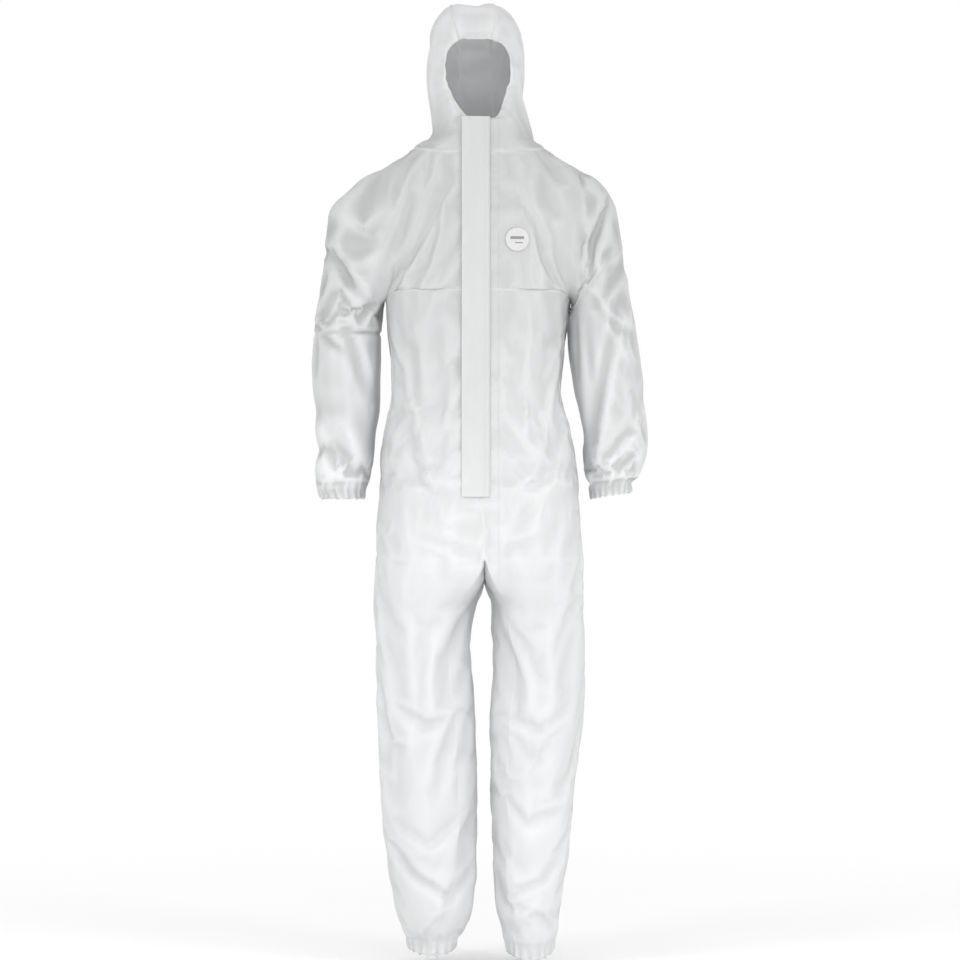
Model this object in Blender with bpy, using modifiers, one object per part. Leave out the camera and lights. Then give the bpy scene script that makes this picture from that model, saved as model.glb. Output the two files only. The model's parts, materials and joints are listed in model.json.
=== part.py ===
"""Hooded one-piece protective coverall, standing as worn with its arms down.

The front faces -Y, the wearer's right side is -X, and the ankle hems stand on z = 0.
Every fabric panel is an open sheet lofted over horizontal body sections and thickened.
"""

import math

import bmesh
import bpy
import numpy as np
from mathutils import Matrix, Vector

# Driving dimensions, metres
FABRIC = 0.0012  # thickness of every fabric panel
SEAM_GAP = 0.0009  # distance between the edges of two neighbouring panels
FLAT_HALF = 0.018  # half width of the flat strip down the centre front and back
NECK_Z = 1.506
CHEST_SEAM_Z = 1.245
CROTCH_Z = 0.726
LEG_TOP_Z = 0.745
INSEAM_X = 0.0035  # the legs' inner walls at the crotch, each side of the middle
SLEEVE_SEAM_Z = 1.190
ELBOW_Z = 1.105
CUFF_Z = 0.857
KNEE_Z = 0.440

ARMHOLE_Z = 1.351
ARMHOLE_HALF_HEIGHT = 0.125
ARMHOLE_HALF_ANGLE = math.radians(40)
ARMHOLE_STEPS = 8
ARMPIT_OUT = 0.006  # the sleeve starts this far outside the torso at the armpit

FACE_Z = 1.6375
FACE_HALF_HEIGHT = 0.0775
FACE_HALF_WIDTH = 0.0616
FACE_POWER = 3.0
EDGING_INSET = 0.0035  # the face elastic runs this far inside the opening's edge
CROWN_HALF_WIDTH = 0.042  # half width of the hood's centre panel on the crown
NAPE_HALF_WIDTH = 0.030  # and at the back of the neck

# The centre front is one straight line, so the zip slides and the flap turns on it.
FRONT_LOW = Vector((0, -0.1400, 0.86))
FRONT_HIGH = Vector((0, -0.1000, 1.56))
FRONT_SLOPE = (FRONT_HIGH.y - FRONT_LOW.y) / (FRONT_HIGH.z - FRONT_LOW.z)
FRONT_TILT = math.atan(FRONT_SLOPE)
FABRIC_OUT = 0.0013  # the front fabric's middle stands this far proud of the zip's middle

ZIP_LOW_Z = 0.862
ZIP_HIGH_Z = 1.558
ZIP_OPENING_HALF = 0.0052
TAPE_REACH = (0.0036, 0.0140)  # inner and outer edge of a zip tape, from the centre line
COIL_REACH = (0.0006, 0.0031)
COIL_LOW_Z = 0.8700
COIL_HIGH_Z = 1.5520
SLIDER_LENGTH = 0.011
PULL_LENGTH = 0.022
FLAP_LOW_Z = 0.858
FLAP_HIGH_Z = 1.564
FLAP_FREE_X = -0.034
FLAP_HINGE_X = 0.018
FLAP_HINGE_OUT = 0.0029
FLAP_OUT = 0.0057

HEM_INSET = 0.0045
HEM_HEIGHT = 0.016
HEM_EDGE = FABRIC / 2 - 0.0002  # the hem is lofted this far above its cut edge
ELASTIC = 0.0011

# Joint points
HOOD_PIVOT = Vector((0, 0.030, 1.515))
SHOULDER_PIVOT = Vector((0.195, 0, 1.375))
ELBOW_PIVOT = Vector((0.249, 0, ELBOW_Z))
HIP_PIVOT = Vector((0.097, 0, 0.780))
KNEE_PIVOT = Vector((0.103, 0, KNEE_Z))
PULL_OUT = 0.0036  # the pull's pin stands this far proud of the zip's middle

# Torso sections: height, half width, y of the back, roundness
TORSO = (
    (0.745, 0.1925, 0.1380, 2.5),
    (0.800, 0.1890, 0.1465, 2.5),
    (0.900, 0.1780, 0.1360, 2.4),
    (0.980, 0.1720, 0.1130, 2.4),
    (1.060, 0.1570, 0.085, 2.3),
    (1.150, 0.1660, 0.100, 2.3),
    (1.226, 0.1760, 0.113, 2.3),
    (1.300, 0.1870, 0.122, 2.3),
    (1.400, 0.1930, 0.118, 2.2),
    (1.476, 0.1850, 0.098, 1.8),
    (1.492, 0.1560, 0.094, 1.9),
    (1.506, 0.1200, 0.090, 2.2),
)
# Hood sections: height, half width, y of the front, y of the back, roundness
HOOD = (
    (1.506, 0.1200, -0.1031, 0.090, 2.2),
    (1.524, 0.0990, -0.1021, 0.092, 2.2),
    (1.560, 0.0925, -0.1000, 0.103, 2.2),
    (1.590, 0.0890, -0.1000, 0.112, 2.2),
    (1.655, 0.0910, -0.1000, 0.124, 2.2),
    (1.705, 0.0880, -0.0940, 0.126, 2.2),
    (1.730, 0.0830, -0.0860, 0.122, 2.2),
    (1.7485, 0.0737, -0.0730, 0.113, 2.2),
    (1.767, 0.0560, -0.0530, 0.097, 2.3),
    (1.7764, 0.0435, -0.0360, 0.082, 2.6),
)
# Leg sections: height, centre x, half width, centre y, half depth
LEG = (
    (0.0000, 0.0910, 0.0470, 0.004, 0.056),
    (0.0200, 0.0910, 0.0470, 0.004, 0.056),
    (0.0500, 0.0905, 0.0520, 0.004, 0.064),
    (0.0880, 0.0900, 0.0630, 0.005, 0.078),
    (0.1440, 0.0920, 0.0710, 0.006, 0.087),
    (0.2200, 0.0940, 0.0765, 0.006, 0.093),
    (0.2900, 0.0955, 0.0810, 0.006, 0.098),
    (0.4400, 0.1030, 0.0885, 0.004, 0.105),
    (0.5900, 0.1040, 0.0880, 0.002, 0.114),
    (0.6900, 0.0990, 0.0940, 0.000, 0.128),
)
# Sleeve sections: height, centre x, half width, half depth
SLEEVE = (
    (0.8570, 0.2500, 0.0410, 0.0430),
    (0.8720, 0.2500, 0.0410, 0.0430),
    (0.8900, 0.2490, 0.0500, 0.0530),
    (0.9300, 0.2490, 0.0540, 0.0600),
    (1.0000, 0.2490, 0.0570, 0.0670),
    (1.1050, 0.2490, 0.0620, 0.0730),
    (1.1900, 0.2485, 0.0620, 0.0780),
)

for leftover in list(bpy.data.objects):
    bpy.data.objects.remove(leftover)

collection = bpy.data.collections.new("protective_coverall")
bpy.context.scene.collection.children.link(collection)
cutters = bpy.data.collections.new("cutters")
bpy.context.scene.collection.children.link(cutters)


# Materials


def material(name, color, roughness, metallic=0.0):
    mat = bpy.data.materials.new(name)
    mat.use_nodes = True
    shader = mat.node_tree.nodes["Principled BSDF"]
    shader.inputs["Base Color"].default_value = (*color, 1.0)
    shader.inputs["Roughness"].default_value = roughness
    shader.inputs["Metallic"].default_value = metallic
    return mat


WHITE = material("nonwoven_white", (0.86, 0.87, 0.88), 0.6)
ELASTIC_WHITE = material("elastic_white", (0.80, 0.80, 0.78), 0.8)
ZIP_TAPE = material("zip_tape", (0.85, 0.85, 0.85), 0.8)
ZIP_COIL = material("zip_coil", (0.90, 0.90, 0.90), 0.4)
SLIDER_WHITE = material("slider_white", (0.78, 0.79, 0.80), 0.3)
ADHESIVE = material("adhesive", (0.80, 0.76, 0.62), 0.3)
LINER = material("release_liner", (0.90, 0.88, 0.80), 0.4)
LABEL = material("label_white", (0.93, 0.93, 0.93), 0.5)


# Building tools


def add_object(name, mesh, mat, origin=None):
    """Link a mesh whose vertices are in world coordinates, with its origin at a joint's point."""
    obj = bpy.data.objects.new(name, mesh)
    if origin is not None:
        mesh.transform(Matrix.Translation(-origin))
        obj.location = origin
    mesh.materials.append(mat)
    for face in mesh.polygons:
        face.use_smooth = True
    collection.objects.link(obj)
    return obj


def sheet(name, rows, mat, thickness=FABRIC, closed=False, origin=None):
    """Loft rows of points into an open sheet, and thicken it evenly about its middle."""
    mesh = bpy.data.meshes.new(name)
    columns = len(rows[0])
    vertices = [tuple(point) for row in rows for point in row]
    faces = []
    for i in range(len(rows) - 1):
        for j in range(columns if closed else columns - 1):
            k = (j + 1) % columns
            low, high = i * columns, (i + 1) * columns
            faces.append((low + j, low + k, high + k, high + j))
    mesh.from_pydata(vertices, [], faces)
    work = bmesh.new()
    work.from_mesh(mesh)
    bmesh.ops.remove_doubles(work, verts=work.verts, dist=0.00002)
    bmesh.ops.recalc_face_normals(work, faces=work.faces)
    work.to_mesh(mesh)
    work.free()
    obj = add_object(name, mesh, mat, origin)
    thick = obj.modifiers.new("thickness", "SOLIDIFY")
    thick.thickness = thickness
    thick.offset = 0
    thick.use_even_offset = True
    return obj


def trim_below(obj, z):
    """Cut a hem's lower edge flat at height z, as one face."""
    mesh = bpy.data.meshes.new("trim")
    work = bmesh.new()
    bmesh.ops.create_cube(work, size=1)
    for vertex in work.verts:
        vertex.co.z = z if vertex.co.z > 0 else z - 0.02
    work.to_mesh(mesh)
    work.free()
    box = bpy.data.objects.new(f"trim_{obj.name}", mesh)
    box.hide_render = True
    box.display_type = "WIRE"
    cutters.objects.link(box)
    cut(obj, box)


def cut(obj, cutter):
    hole = obj.modifiers.new("cut", "BOOLEAN")
    hole.operation = "DIFFERENCE"
    hole.solver = "EXACT"
    hole.object = cutter


def lerp(a, b, t):
    return a + (b - a) * t


def section(table, z):
    """The values of a table of sections at height z."""
    heights = [row[0] for row in table]
    return [float(np.interp(z, heights, [row[k] for row in table])) for k in range(1, len(table[0]))]


def signed_power(value, power):
    return math.copysign(abs(value) ** power, value)


def front_line_y(z):
    return FRONT_LOW.y + FRONT_SLOPE * (z - FRONT_LOW.z)


# Torso and hood surface. Angles run from the front, 0, round the wearer's left, to the back, pi.


def ring_point(half_width, y_front, y_back, power, angle, z):
    centre, depth = (y_front + y_back) / 2, (y_back - y_front) / 2
    x = signed_power(math.sin(angle), 2 / power) * (half_width - FLAT_HALF)
    y = centre - signed_power(math.cos(angle), 2 / power) * depth
    return Vector((math.copysign(FLAT_HALF, x) + x, y, z))


def torso_point(angle, z):
    half_width, y_back, power = section(TORSO, z)
    return ring_point(half_width, front_line_y(z), y_back, power, angle, z)


def hood_point(angle, z):
    half_width, y_front, y_back, power = section(HOOD, z)
    return ring_point(half_width, y_front, y_back, power, angle, z)


def hood_angle(x, z):
    """The angle at which the hood's section at height z reaches x on its front half."""
    half_width, _, _, power = section(HOOD, z)
    share = max(0.0, (x - FLAT_HALF) / (half_width - FLAT_HALF))
    return math.asin(min(1.0, share ** (power / 2)))


def chest_seam_z(angle):
    """The seam is level across the chest and drops to the armpit."""
    aside = 1 - abs(abs(angle) - math.pi / 2) / math.radians(30)
    return CHEST_SEAM_Z - 0.019 * max(0.0, aside)


def mirrored(point, side):
    return Vector((point.x * side, point.y, point.z))


SIDES = (("right", -1), ("left", 1))
HALF_GAP_ANGLE = SEAM_GAP / 2 / 0.17


def armhole_rows():
    """Heights of the armhole's points from the armpit up, with half the armhole's angle at each."""
    for k in range(ARMHOLE_STEPS, -1, -1):
        turn = math.pi * k / ARMHOLE_STEPS
        yield ARMHOLE_Z + ARMHOLE_HALF_HEIGHT * math.cos(turn), ARMHOLE_HALF_ANGLE * math.sin(turn)


def yoke_half(back):
    """Rows of the upper front panel on the wearer's left, or of the upper back panel's left half."""
    columns = 6
    rows = []
    heights = list(armhole_rows()) + [(1.492, 0.0), (NECK_Z - SEAM_GAP / 2, 0.0)]
    for number, (z, hole) in enumerate(heights):
        last = math.pi / 2 - hole - HALF_GAP_ANGLE
        first = [] if back else [Vector((ZIP_OPENING_HALF, front_line_y(z), z))]
        row = []
        for j in range(columns + 1):
            angle = last * j / columns
            height = z
            if number == 0:
                height = chest_seam_z(angle) + SEAM_GAP / 2
            elif z < CHEST_SEAM_Z + 0.02:
                height = max(z, chest_seam_z(angle) + SEAM_GAP / 2 + 0.004 * number)
            row.append(torso_point(math.pi - angle if back else angle, height))
        if first:
            first[0].z = row[0].z
            first[0].y = front_line_y(row[0].z)
        rows.append(first + row)
    return rows


def build_yoke():
    for name, side in SIDES:
        rows = [[mirrored(p, side) for p in row] for row in yoke_half(back=False)]
        sheet(f"yoke_front_{name}", rows, WHITE)
    rows = []
    for row in yoke_half(back=True):
        across = [mirrored(p, -1) for p in reversed(row)]
        rows.append(across + row)
    sheet("yoke_back", rows, WHITE)


def body_heights(angle):
    top = chest_seam_z(angle) - SEAM_GAP / 2
    low = LEG_TOP_Z + SEAM_GAP / 2
    return [low, 0.80, 0.850, ZIP_LOW_Z, 0.90, 0.98, 1.06, 1.15, top]


def build_body():
    """The lower panels' upper part, from the chest seam to the top of the legs."""
    columns = 6
    last = math.pi / 2 - HALF_GAP_ANGLE
    for name, side in SIDES:
        for back in (False, True):
            rows = []
            for i in range(len(body_heights(0))):
                row = []
                z = body_heights(0)[i]
                edge = SEAM_GAP / 2
                if not back and z >= ZIP_LOW_Z:
                    edge = ZIP_OPENING_HALF
                y = section(TORSO, z)[1] if back else front_line_y(z)
                row.append(Vector((edge, y, z)))
                for j in range(columns + 1):
                    angle = last * j / columns
                    height = body_heights(angle)[i]
                    row.append(torso_point(math.pi - angle if back else angle, height))
                rows.append([mirrored(p, side) for p in row])
            sheet(f"body_{'back' if back else 'front'}_{name}", rows, WHITE)


def build_waist_elastic():
    """A band inside the back of the waist."""
    half_width, y_back, power = section(TORSO, 1.06)
    inset = 0.0030
    rows = []
    for z in (1.051, 1.069):
        row = []
        for j in range(-5, 6):
            angle = math.pi + (math.pi / 2 - HALF_GAP_ANGLE) * j / 6
            y_front = front_line_y(1.06) + inset
            row.append(ring_point(half_width - inset, y_front, y_back - inset, power, angle, z))
        rows.append(row)
    sheet("waist_elastic", rows, ELASTIC_WHITE, thickness=ELASTIC)


# Sleeves


def armhole_loop(turn):
    """A point just inside the armhole's edge; turn 0 is the shoulder, pi/2 the front, pi the armpit."""
    shrink = 1 - SEAM_GAP / 0.125
    angle = math.pi / 2 - ARMHOLE_HALF_ANGLE * shrink * math.sin(turn)
    z = ARMHOLE_Z + ARMHOLE_HALF_HEIGHT * shrink * math.cos(turn)
    low = (1 - math.cos(turn)) / 2
    return torso_point(angle, z) + Vector((ARMPIT_OUT * low**2, 0, 0))


def sleeve_ring_point(turn, z):
    centre, half_width, half_depth = section(SLEEVE, z)
    return Vector((centre + half_width * math.cos(turn), -half_depth * math.sin(turn), z))


def cap_point(turn, t):
    """The sleeve cap bends from the armhole, t 0, down to the sleeve seam, t 1."""
    start = armhole_loop(turn)
    end = sleeve_ring_point(turn, SLEEVE_SEAM_Z + SEAM_GAP / 2)
    low = (1 - math.cos(turn)) / 2
    leave = Vector((0.33, 0, -0.10)).lerp(Vector((0.02, 0, -0.03)), low)
    arrive = Vector((0, 0, -0.34)).lerp(Vector((0, 0, -0.04)), low)
    return (
        start * (2 * t**3 - 3 * t**2 + 1)
        + leave * (t**3 - 2 * t**2 + t)
        + end * (3 * t**2 - 2 * t**3)
        + arrive * (t**3 - t**2)
    )


def build_sleeves():
    seam = math.radians(0.35)
    for name, side in SIDES:
        shoulder = mirrored(SHOULDER_PIVOT, side)
        elbow = mirrored(ELBOW_PIVOT, side)
        for part, sense in (("front", 1), ("back", -1)):
            rows = []
            for i in range(7):
                row = []
                for k in range(ARMHOLE_STEPS + 1):
                    turn = math.pi * k / ARMHOLE_STEPS
                    turn = min(max(turn, seam), math.pi - seam)
                    row.append(mirrored(cap_point(sense * turn, i / 6), side))
                rows.append(row)
            sheet(f"sleeve_cap_{part}_{name}", rows, WHITE, origin=shoulder)

        turns = [2 * math.pi * k / 16 for k in range(16)]
        top = SLEEVE_SEAM_Z - SEAM_GAP / 2
        heights = (ELBOW_Z + SEAM_GAP / 2, top)
        rows = [[mirrored(sleeve_ring_point(a, z), side) for a in turns] for z in heights]
        sheet(f"sleeve_mid_{name}", rows, WHITE, closed=True, origin=shoulder)

        heights = [CUFF_Z + HEM_EDGE, 0.872, 0.89, 0.93, 1.0, ELBOW_Z - SEAM_GAP / 2]
        rows = [[mirrored(sleeve_ring_point(a, z), side) for a in turns] for z in heights]
        wrist = mirrored(Vector((0.250, 0, 0)), side)
        rows = hem_rows(rows[0], wrist) + rows
        trim_below(sheet(f"sleeve_lower_{name}", rows, WHITE, closed=True, origin=elbow), CUFF_Z)
        ring = [mirrored(sleeve_ring_point(a, CUFF_Z + HEM_EDGE), side) for a in turns]
        hem_elastic(f"cuff_elastic_{name}", ring, wrist, elbow)


def inset_ring(ring, centre, inset, rise):
    """A copy of a horizontal ring, drawn in towards its centre and lifted."""
    moved = []
    for point in ring:
        inward = Vector((centre.x - point.x, centre.y - point.y, 0)).normalized()
        moved.append(point + inward * inset + Vector((0, 0, rise)))
    return moved


def hem_rows(ring, centre):
    """The hem's turned-up inner wall and its flat lower edge."""
    return [inset_ring(ring, centre, HEM_INSET, HEM_HEIGHT), inset_ring(ring, centre, HEM_INSET, 0)]


def hem_elastic(name, ring, centre, origin):
    """The elastic band that lies inside a hem."""
    rows = [inset_ring(ring, centre, HEM_INSET / 2, rise) for rise in (0.0025, 0.0125)]
    sheet(name, rows, ELASTIC_WHITE, thickness=ELASTIC, closed=True, origin=origin)


# Legs


def leg_ring_point(angle, z):
    centre_x, half_width, centre_y, half_depth = section(LEG, z)
    return Vector((centre_x + half_width * math.sin(angle), centre_y - half_depth * math.cos(angle), z))


def leg_top(j, back):
    """The top of a thigh panel: 3 columns along the crotch curve, then along the torso to the side."""
    inner, outer = 3, 6
    top = LEG_TOP_Z - SEAM_GAP / 2
    y_edge = section(TORSO, top)[1] if back else front_line_y(top)
    if j < inner:
        t = j / inner
        start = SEAM_GAP if back else -SEAM_GAP
        return Vector((INSEAM_X, lerp(start, y_edge, t), lerp(CROTCH_Z, top, t * t)))
    angle = (math.pi / 2 - HALF_GAP_ANGLE) * (j - inner) / outer
    point = torso_point(math.pi - angle if back else angle, top)
    if j == inner:
        point.x = INSEAM_X
    return point


def leg_panel_rows(heights, back):
    """Columns run from the inseam to the side seam; the upper rows ease out of the torso's section."""
    columns = 9
    seam = HALF_GAP_ANGLE * 2
    first, last = -math.pi / 2 + seam, math.pi / 2 - seam
    rows = []
    for z in heights:
        if z is None:
            rows.append([leg_top(j, back) for j in range(columns + 1)])
            continue
        row = []
        for j in range(columns + 1):
            angle = lerp(first, last, j / columns)
            row.append(leg_ring_point(math.pi - angle if back else angle, z))
        rows.append(row)
    return rows


def build_legs():
    for name, side in SIDES:
        hip = mirrored(HIP_PIVOT, side)
        knee = mirrored(KNEE_PIVOT, side)
        ankle = mirrored(Vector((0.091, 0.004, 0)), side)
        for back in (False, True):
            part = "back" if back else "front"
            heights = [KNEE_Z + SEAM_GAP / 2, 0.52, 0.59, 0.665, None]
            rows = [[mirrored(p, side) for p in row] for row in leg_panel_rows(heights, back)]
            sheet(f"thigh_{part}_{name}", rows, WHITE, origin=hip)
            heights = [HEM_EDGE, 0.02, 0.05, 0.088, 0.144, 0.22, 0.33, KNEE_Z - SEAM_GAP / 2]
            rows = [[mirrored(p, side) for p in row] for row in leg_panel_rows(heights, back)]
            rows = hem_rows(rows[0], ankle) + rows
            trim_below(sheet(f"shin_{part}_{name}", rows, WHITE, origin=knee), 0.0)
        turns = [2 * math.pi * k / 18 for k in range(18)]
        ring = [mirrored(leg_ring_point(a, HEM_EDGE), side) for a in turns]
        hem_elastic(f"ankle_elastic_{name}", ring, ankle, knee)


# Hood


def face_half_width(z):
    share = abs(z - FACE_Z) / FACE_HALF_HEIGHT
    return FACE_HALF_WIDTH * max(0.0, 1 - share**FACE_POWER) ** (1 / FACE_POWER)


def face_top_z(x):
    share = min(1.0, abs(x) / FACE_HALF_WIDTH)
    return FACE_Z + FACE_HALF_HEIGHT * (1 - share**FACE_POWER) ** (1 / FACE_POWER)


def panel_half_width(z, back):
    """Half width of the hood's centre panel, which narrows down the back."""
    if not back:
        return CROWN_HALF_WIDTH
    return float(np.interp(z, (NECK_Z, 1.70, 1.7764), (NAPE_HALF_WIDTH, NAPE_HALF_WIDTH, CROWN_HALF_WIDTH)))


FACE_BOTTOM_Z = FACE_Z - FACE_HALF_HEIGHT
FACE_CORNER_Z = face_top_z(CROWN_HALF_WIDTH)
JAW_LOW_ANGLE = math.radians(75)
HOOD_LOW_Z = NECK_Z + SEAM_GAP / 2
HOOD_HEIGHTS = (HOOD_LOW_Z, 1.524, FACE_BOTTOM_Z, 1.566, 1.59, 1.625, 1.665, 1.69, FACE_CORNER_Z)
CROWN_HEIGHTS = (1.7185, 1.732, 1.7485, 1.767, 1.7764)


def jaw_angle(z):
    """The line on which the throat meets the folding part of the hood."""
    share = (z - HOOD_LOW_Z) / (FACE_BOTTOM_Z - HOOD_LOW_Z)
    return lerp(JAW_LOW_ANGLE, math.radians(2), share)


def build_hood():
    columns = 8
    for name, side in SIDES:
        rows = []
        for z in HOOD_HEIGHTS + CROWN_HEIGHTS:
            seam = SEAM_GAP / 2
            if z <= FACE_BOTTOM_Z:
                first = jaw_angle(z) + math.radians(0.6)
            elif z < FACE_CORNER_Z:
                first = hood_angle(max(face_half_width(z), FLAT_HALF), z)
            else:
                first = hood_angle(CROWN_HALF_WIDTH + seam, z)
            last = math.pi - hood_angle(panel_half_width(z, True) + seam, z)
            row = [hood_point(lerp(first, last, j / columns), z) for j in range(columns + 1)]
            rows.append([mirrored(p, side) for p in row])
        sheet(f"hood_side_{name}", rows, WHITE, origin=HOOD_PIVOT)

        rows = []
        for z in HOOD_HEIGHTS[:2] + (1.545,):
            last = jaw_angle(z) - math.radians(0.6)
            row = [Vector((ZIP_OPENING_HALF, front_line_y(z), z))]
            row += [hood_point(last * j / 4, z) for j in range(5)]
            rows.append([mirrored(p, side) for p in row])
        top = FACE_BOTTOM_Z - 0.0015
        row = [Vector((lerp(ZIP_OPENING_HALF, FLAT_HALF, j / 5), front_line_y(top), top)) for j in range(6)]
        rows.append([mirrored(p, side) for p in row])
        sheet(f"throat_{name}", rows, WHITE)

    sheet("hood_center_panel", center_panel_rows(), WHITE, origin=HOOD_PIVOT)


def center_panel_rows():
    """From the forehead over the crown and down the back; each row's middle is on the centre line."""
    rows = []
    stations = [(z, False) for z in (FACE_CORNER_Z,) + CROWN_HEIGHTS]
    stations += [(z, True) for z in reversed(HOOD_HEIGHTS + CROWN_HEIGHTS)]
    for number, (z, back) in enumerate(stations):
        if number == len(CROWN_HEIGHTS) + 1:
            rows.append(crown_row())
        half = panel_half_width(z, back) - SEAM_GAP / 2
        reach = hood_angle(half, z)
        row = []
        for j in range(-3, 4):
            angle = reach * (abs(j) - 1) / 2 if j else 0.0
            point = hood_point(math.pi - angle if back else angle, z)
            point.x = 0.0 if j == 0 else math.copysign(point.x, j)
            if number == 0:
                point.z = face_top_z(point.x)
                point.y = hood_point(hood_angle(abs(point.x), point.z), point.z).y
            row.append(point)
        rows.append(row)
    return rows


def crown_row():
    row = []
    for j in range(-3, 4):
        x = (CROWN_HALF_WIDTH - SEAM_GAP / 2) * j / 3
        y = 0.023
        z = 1.7764 + 0.0035 * (1 - (j / 3) ** 2)
        row.append(Vector((x, y, z)))
    return row


def build_face_elastic():
    """The elastic edging that draws in the face opening."""
    steps = 28
    curve = bpy.data.curves.new("face_elastic", "CURVE")
    curve.dimensions = "3D"
    curve.bevel_depth = 0.0012
    curve.bevel_resolution = 0
    spline = curve.splines.new("POLY")
    spline.points.add(steps - 1)
    for k in range(steps):
        turn = 2 * math.pi * k / steps
        x = signed_power(math.sin(turn), 2 / FACE_POWER) * (FACE_HALF_WIDTH - EDGING_INSET)
        z = FACE_Z + signed_power(math.cos(turn), 2 / FACE_POWER) * (FACE_HALF_HEIGHT - EDGING_INSET)
        half_width, y_front, y_back, power = section(HOOD, z)
        share = max(0.0, (abs(x) - FLAT_HALF) / (half_width - FLAT_HALF))
        depth = (y_back - y_front) / 2
        y = (y_front + y_back) / 2 - depth * (1 - share**power) ** (1 / power)
        spline.points[k].co = (x - HOOD_PIVOT.x, y - HOOD_PIVOT.y, z - HOOD_PIVOT.z, 1)
    spline.use_cyclic_u = True
    curve.materials.append(ELASTIC_WHITE)
    obj = bpy.data.objects.new("face_elastic", curve)
    obj.location = HOOD_PIVOT
    collection.objects.link(obj)


# Front closure. Its frame: x across, "out" away from the chest, z along the tilted centre line.


def closure_point(x, out, z):
    """A point near the zip; out is measured square to the centre line from the zip's middle."""
    base = Vector((x, front_line_y(z), z))
    outward = Vector((0, -math.cos(FRONT_TILT), math.sin(FRONT_TILT)))
    return base + outward * (out - FABRIC_OUT)


def closure_box(name, x_range, out_range, z_range, mat, origin=None, bevel=0.0):
    """A box along the closure, with its longer edges on the centre line's tilt."""
    mesh = bpy.data.meshes.new(name)
    work = bmesh.new()
    bmesh.ops.create_cube(work, size=1)
    for vertex in work.verts:
        x = x_range[0] if vertex.co.x < 0 else x_range[1]
        out = out_range[0] if vertex.co.y > 0 else out_range[1]
        z = z_range[0] if vertex.co.z < 0 else z_range[1]
        vertex.co = closure_point(x, out, z)
    bmesh.ops.recalc_face_normals(work, faces=work.faces)
    work.to_mesh(mesh)
    work.free()
    obj = add_object(name, mesh, mat, origin)
    for face in mesh.polygons:
        face.use_smooth = False
    if bevel:
        rounded = obj.modifiers.new("rounded", "BEVEL")
        rounded.width = bevel
        rounded.segments = 2
    return obj


def make_cutter(obj):
    for owner in list(obj.users_collection):
        owner.objects.unlink(obj)
    cutters.objects.link(obj)
    obj.hide_render = True
    obj.display_type = "WIRE"
    return obj


def side_box(name, side, reach, out_range, z_range, mat, bevel=0.0):
    """A closure box that lies between two distances from the centre line, on one side."""
    x_range = sorted(side * x for x in reach)
    return closure_box(name, x_range, out_range, z_range, mat, bevel=bevel)


def build_zip():
    for name, side in SIDES:
        coil = (COIL_LOW_Z, COIL_HIGH_Z)
        stop = (COIL_HIGH_Z + 0.0015, COIL_HIGH_Z + 0.0050)
        side_box(f"zip_tape_{name}", side, TAPE_REACH, (-0.0003, 0.0002), (ZIP_LOW_Z, ZIP_HIGH_Z), ZIP_TAPE)
        side_box(f"zip_coil_{name}", side, COIL_REACH, (-0.0010, 0.0010), coil, ZIP_COIL, bevel=0.0005)
        side_box(f"zip_top_stop_{name}", side, COIL_REACH, (-0.0012, 0.0012), stop, ZIP_COIL, bevel=0.0004)
    stop = (COIL_LOW_Z - 0.0060, COIL_LOW_Z - 0.0010)
    closure_box("zip_bottom_stop", (-0.0031, 0.0031), (-0.0013, 0.0013), stop, ZIP_COIL, bevel=0.0005)
    build_slider()


def union(target, added):
    join = target.modifiers.new("join", "BOOLEAN")
    join.operation = "UNION"
    join.solver = "EXACT"
    join.object = make_cutter(added)


def cross_pin(name, radius, length, centre):
    """A round pin lying across the closure."""
    turned = (0, math.pi / 2, 0)
    bpy.ops.mesh.primitive_cylinder_add(
        vertices=12, radius=radius, depth=length, location=centre, rotation=turned
    )
    bpy.context.object.name = name
    return bpy.context.object


def build_slider():
    """The slider holds a slot for each coil; its two lugs carry the pin of the pull."""
    top = COIL_HIGH_Z + 0.0005
    low = top - SLIDER_LENGTH
    middle = (top + low) / 2
    origin = closure_point(0, 0, middle)
    pin = closure_point(0, PULL_OUT, middle)
    body_out = (-0.0024, 0.0026)
    slider = closure_box("zip_slider", (-0.0046, 0.0046), body_out, (low, top), SLIDER_WHITE, origin)
    for _, side in SIDES:
        slot_heights = (low - 0.002, top + 0.002)
        slot = side_box("slot", side, (0.0003, 0.0060), (-0.0014, 0.0014), slot_heights, SLIDER_WHITE)
        cut(slider, make_cutter(slot))
        lug_heights = (middle - 0.0018, middle + 0.0018)
        lug_out = (0.0022, PULL_OUT + 0.0012)
        union(slider, side_box("lug", side, (0.0019, 0.0029), lug_out, lug_heights, SLIDER_WHITE))
    cut(slider, make_cutter(cross_pin("drill", 0.0008, 0.0080, pin)))

    pull_out = (PULL_OUT - 0.0005, PULL_OUT + 0.0004)
    pull_heights = (middle - PULL_LENGTH, middle + 0.0003)
    pull = closure_box("zip_pull", (-0.0016, 0.0016), pull_out, pull_heights, SLIDER_WHITE, pin)
    union(pull, cross_pin("pivot", 0.0005, 0.0052, pin))


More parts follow.
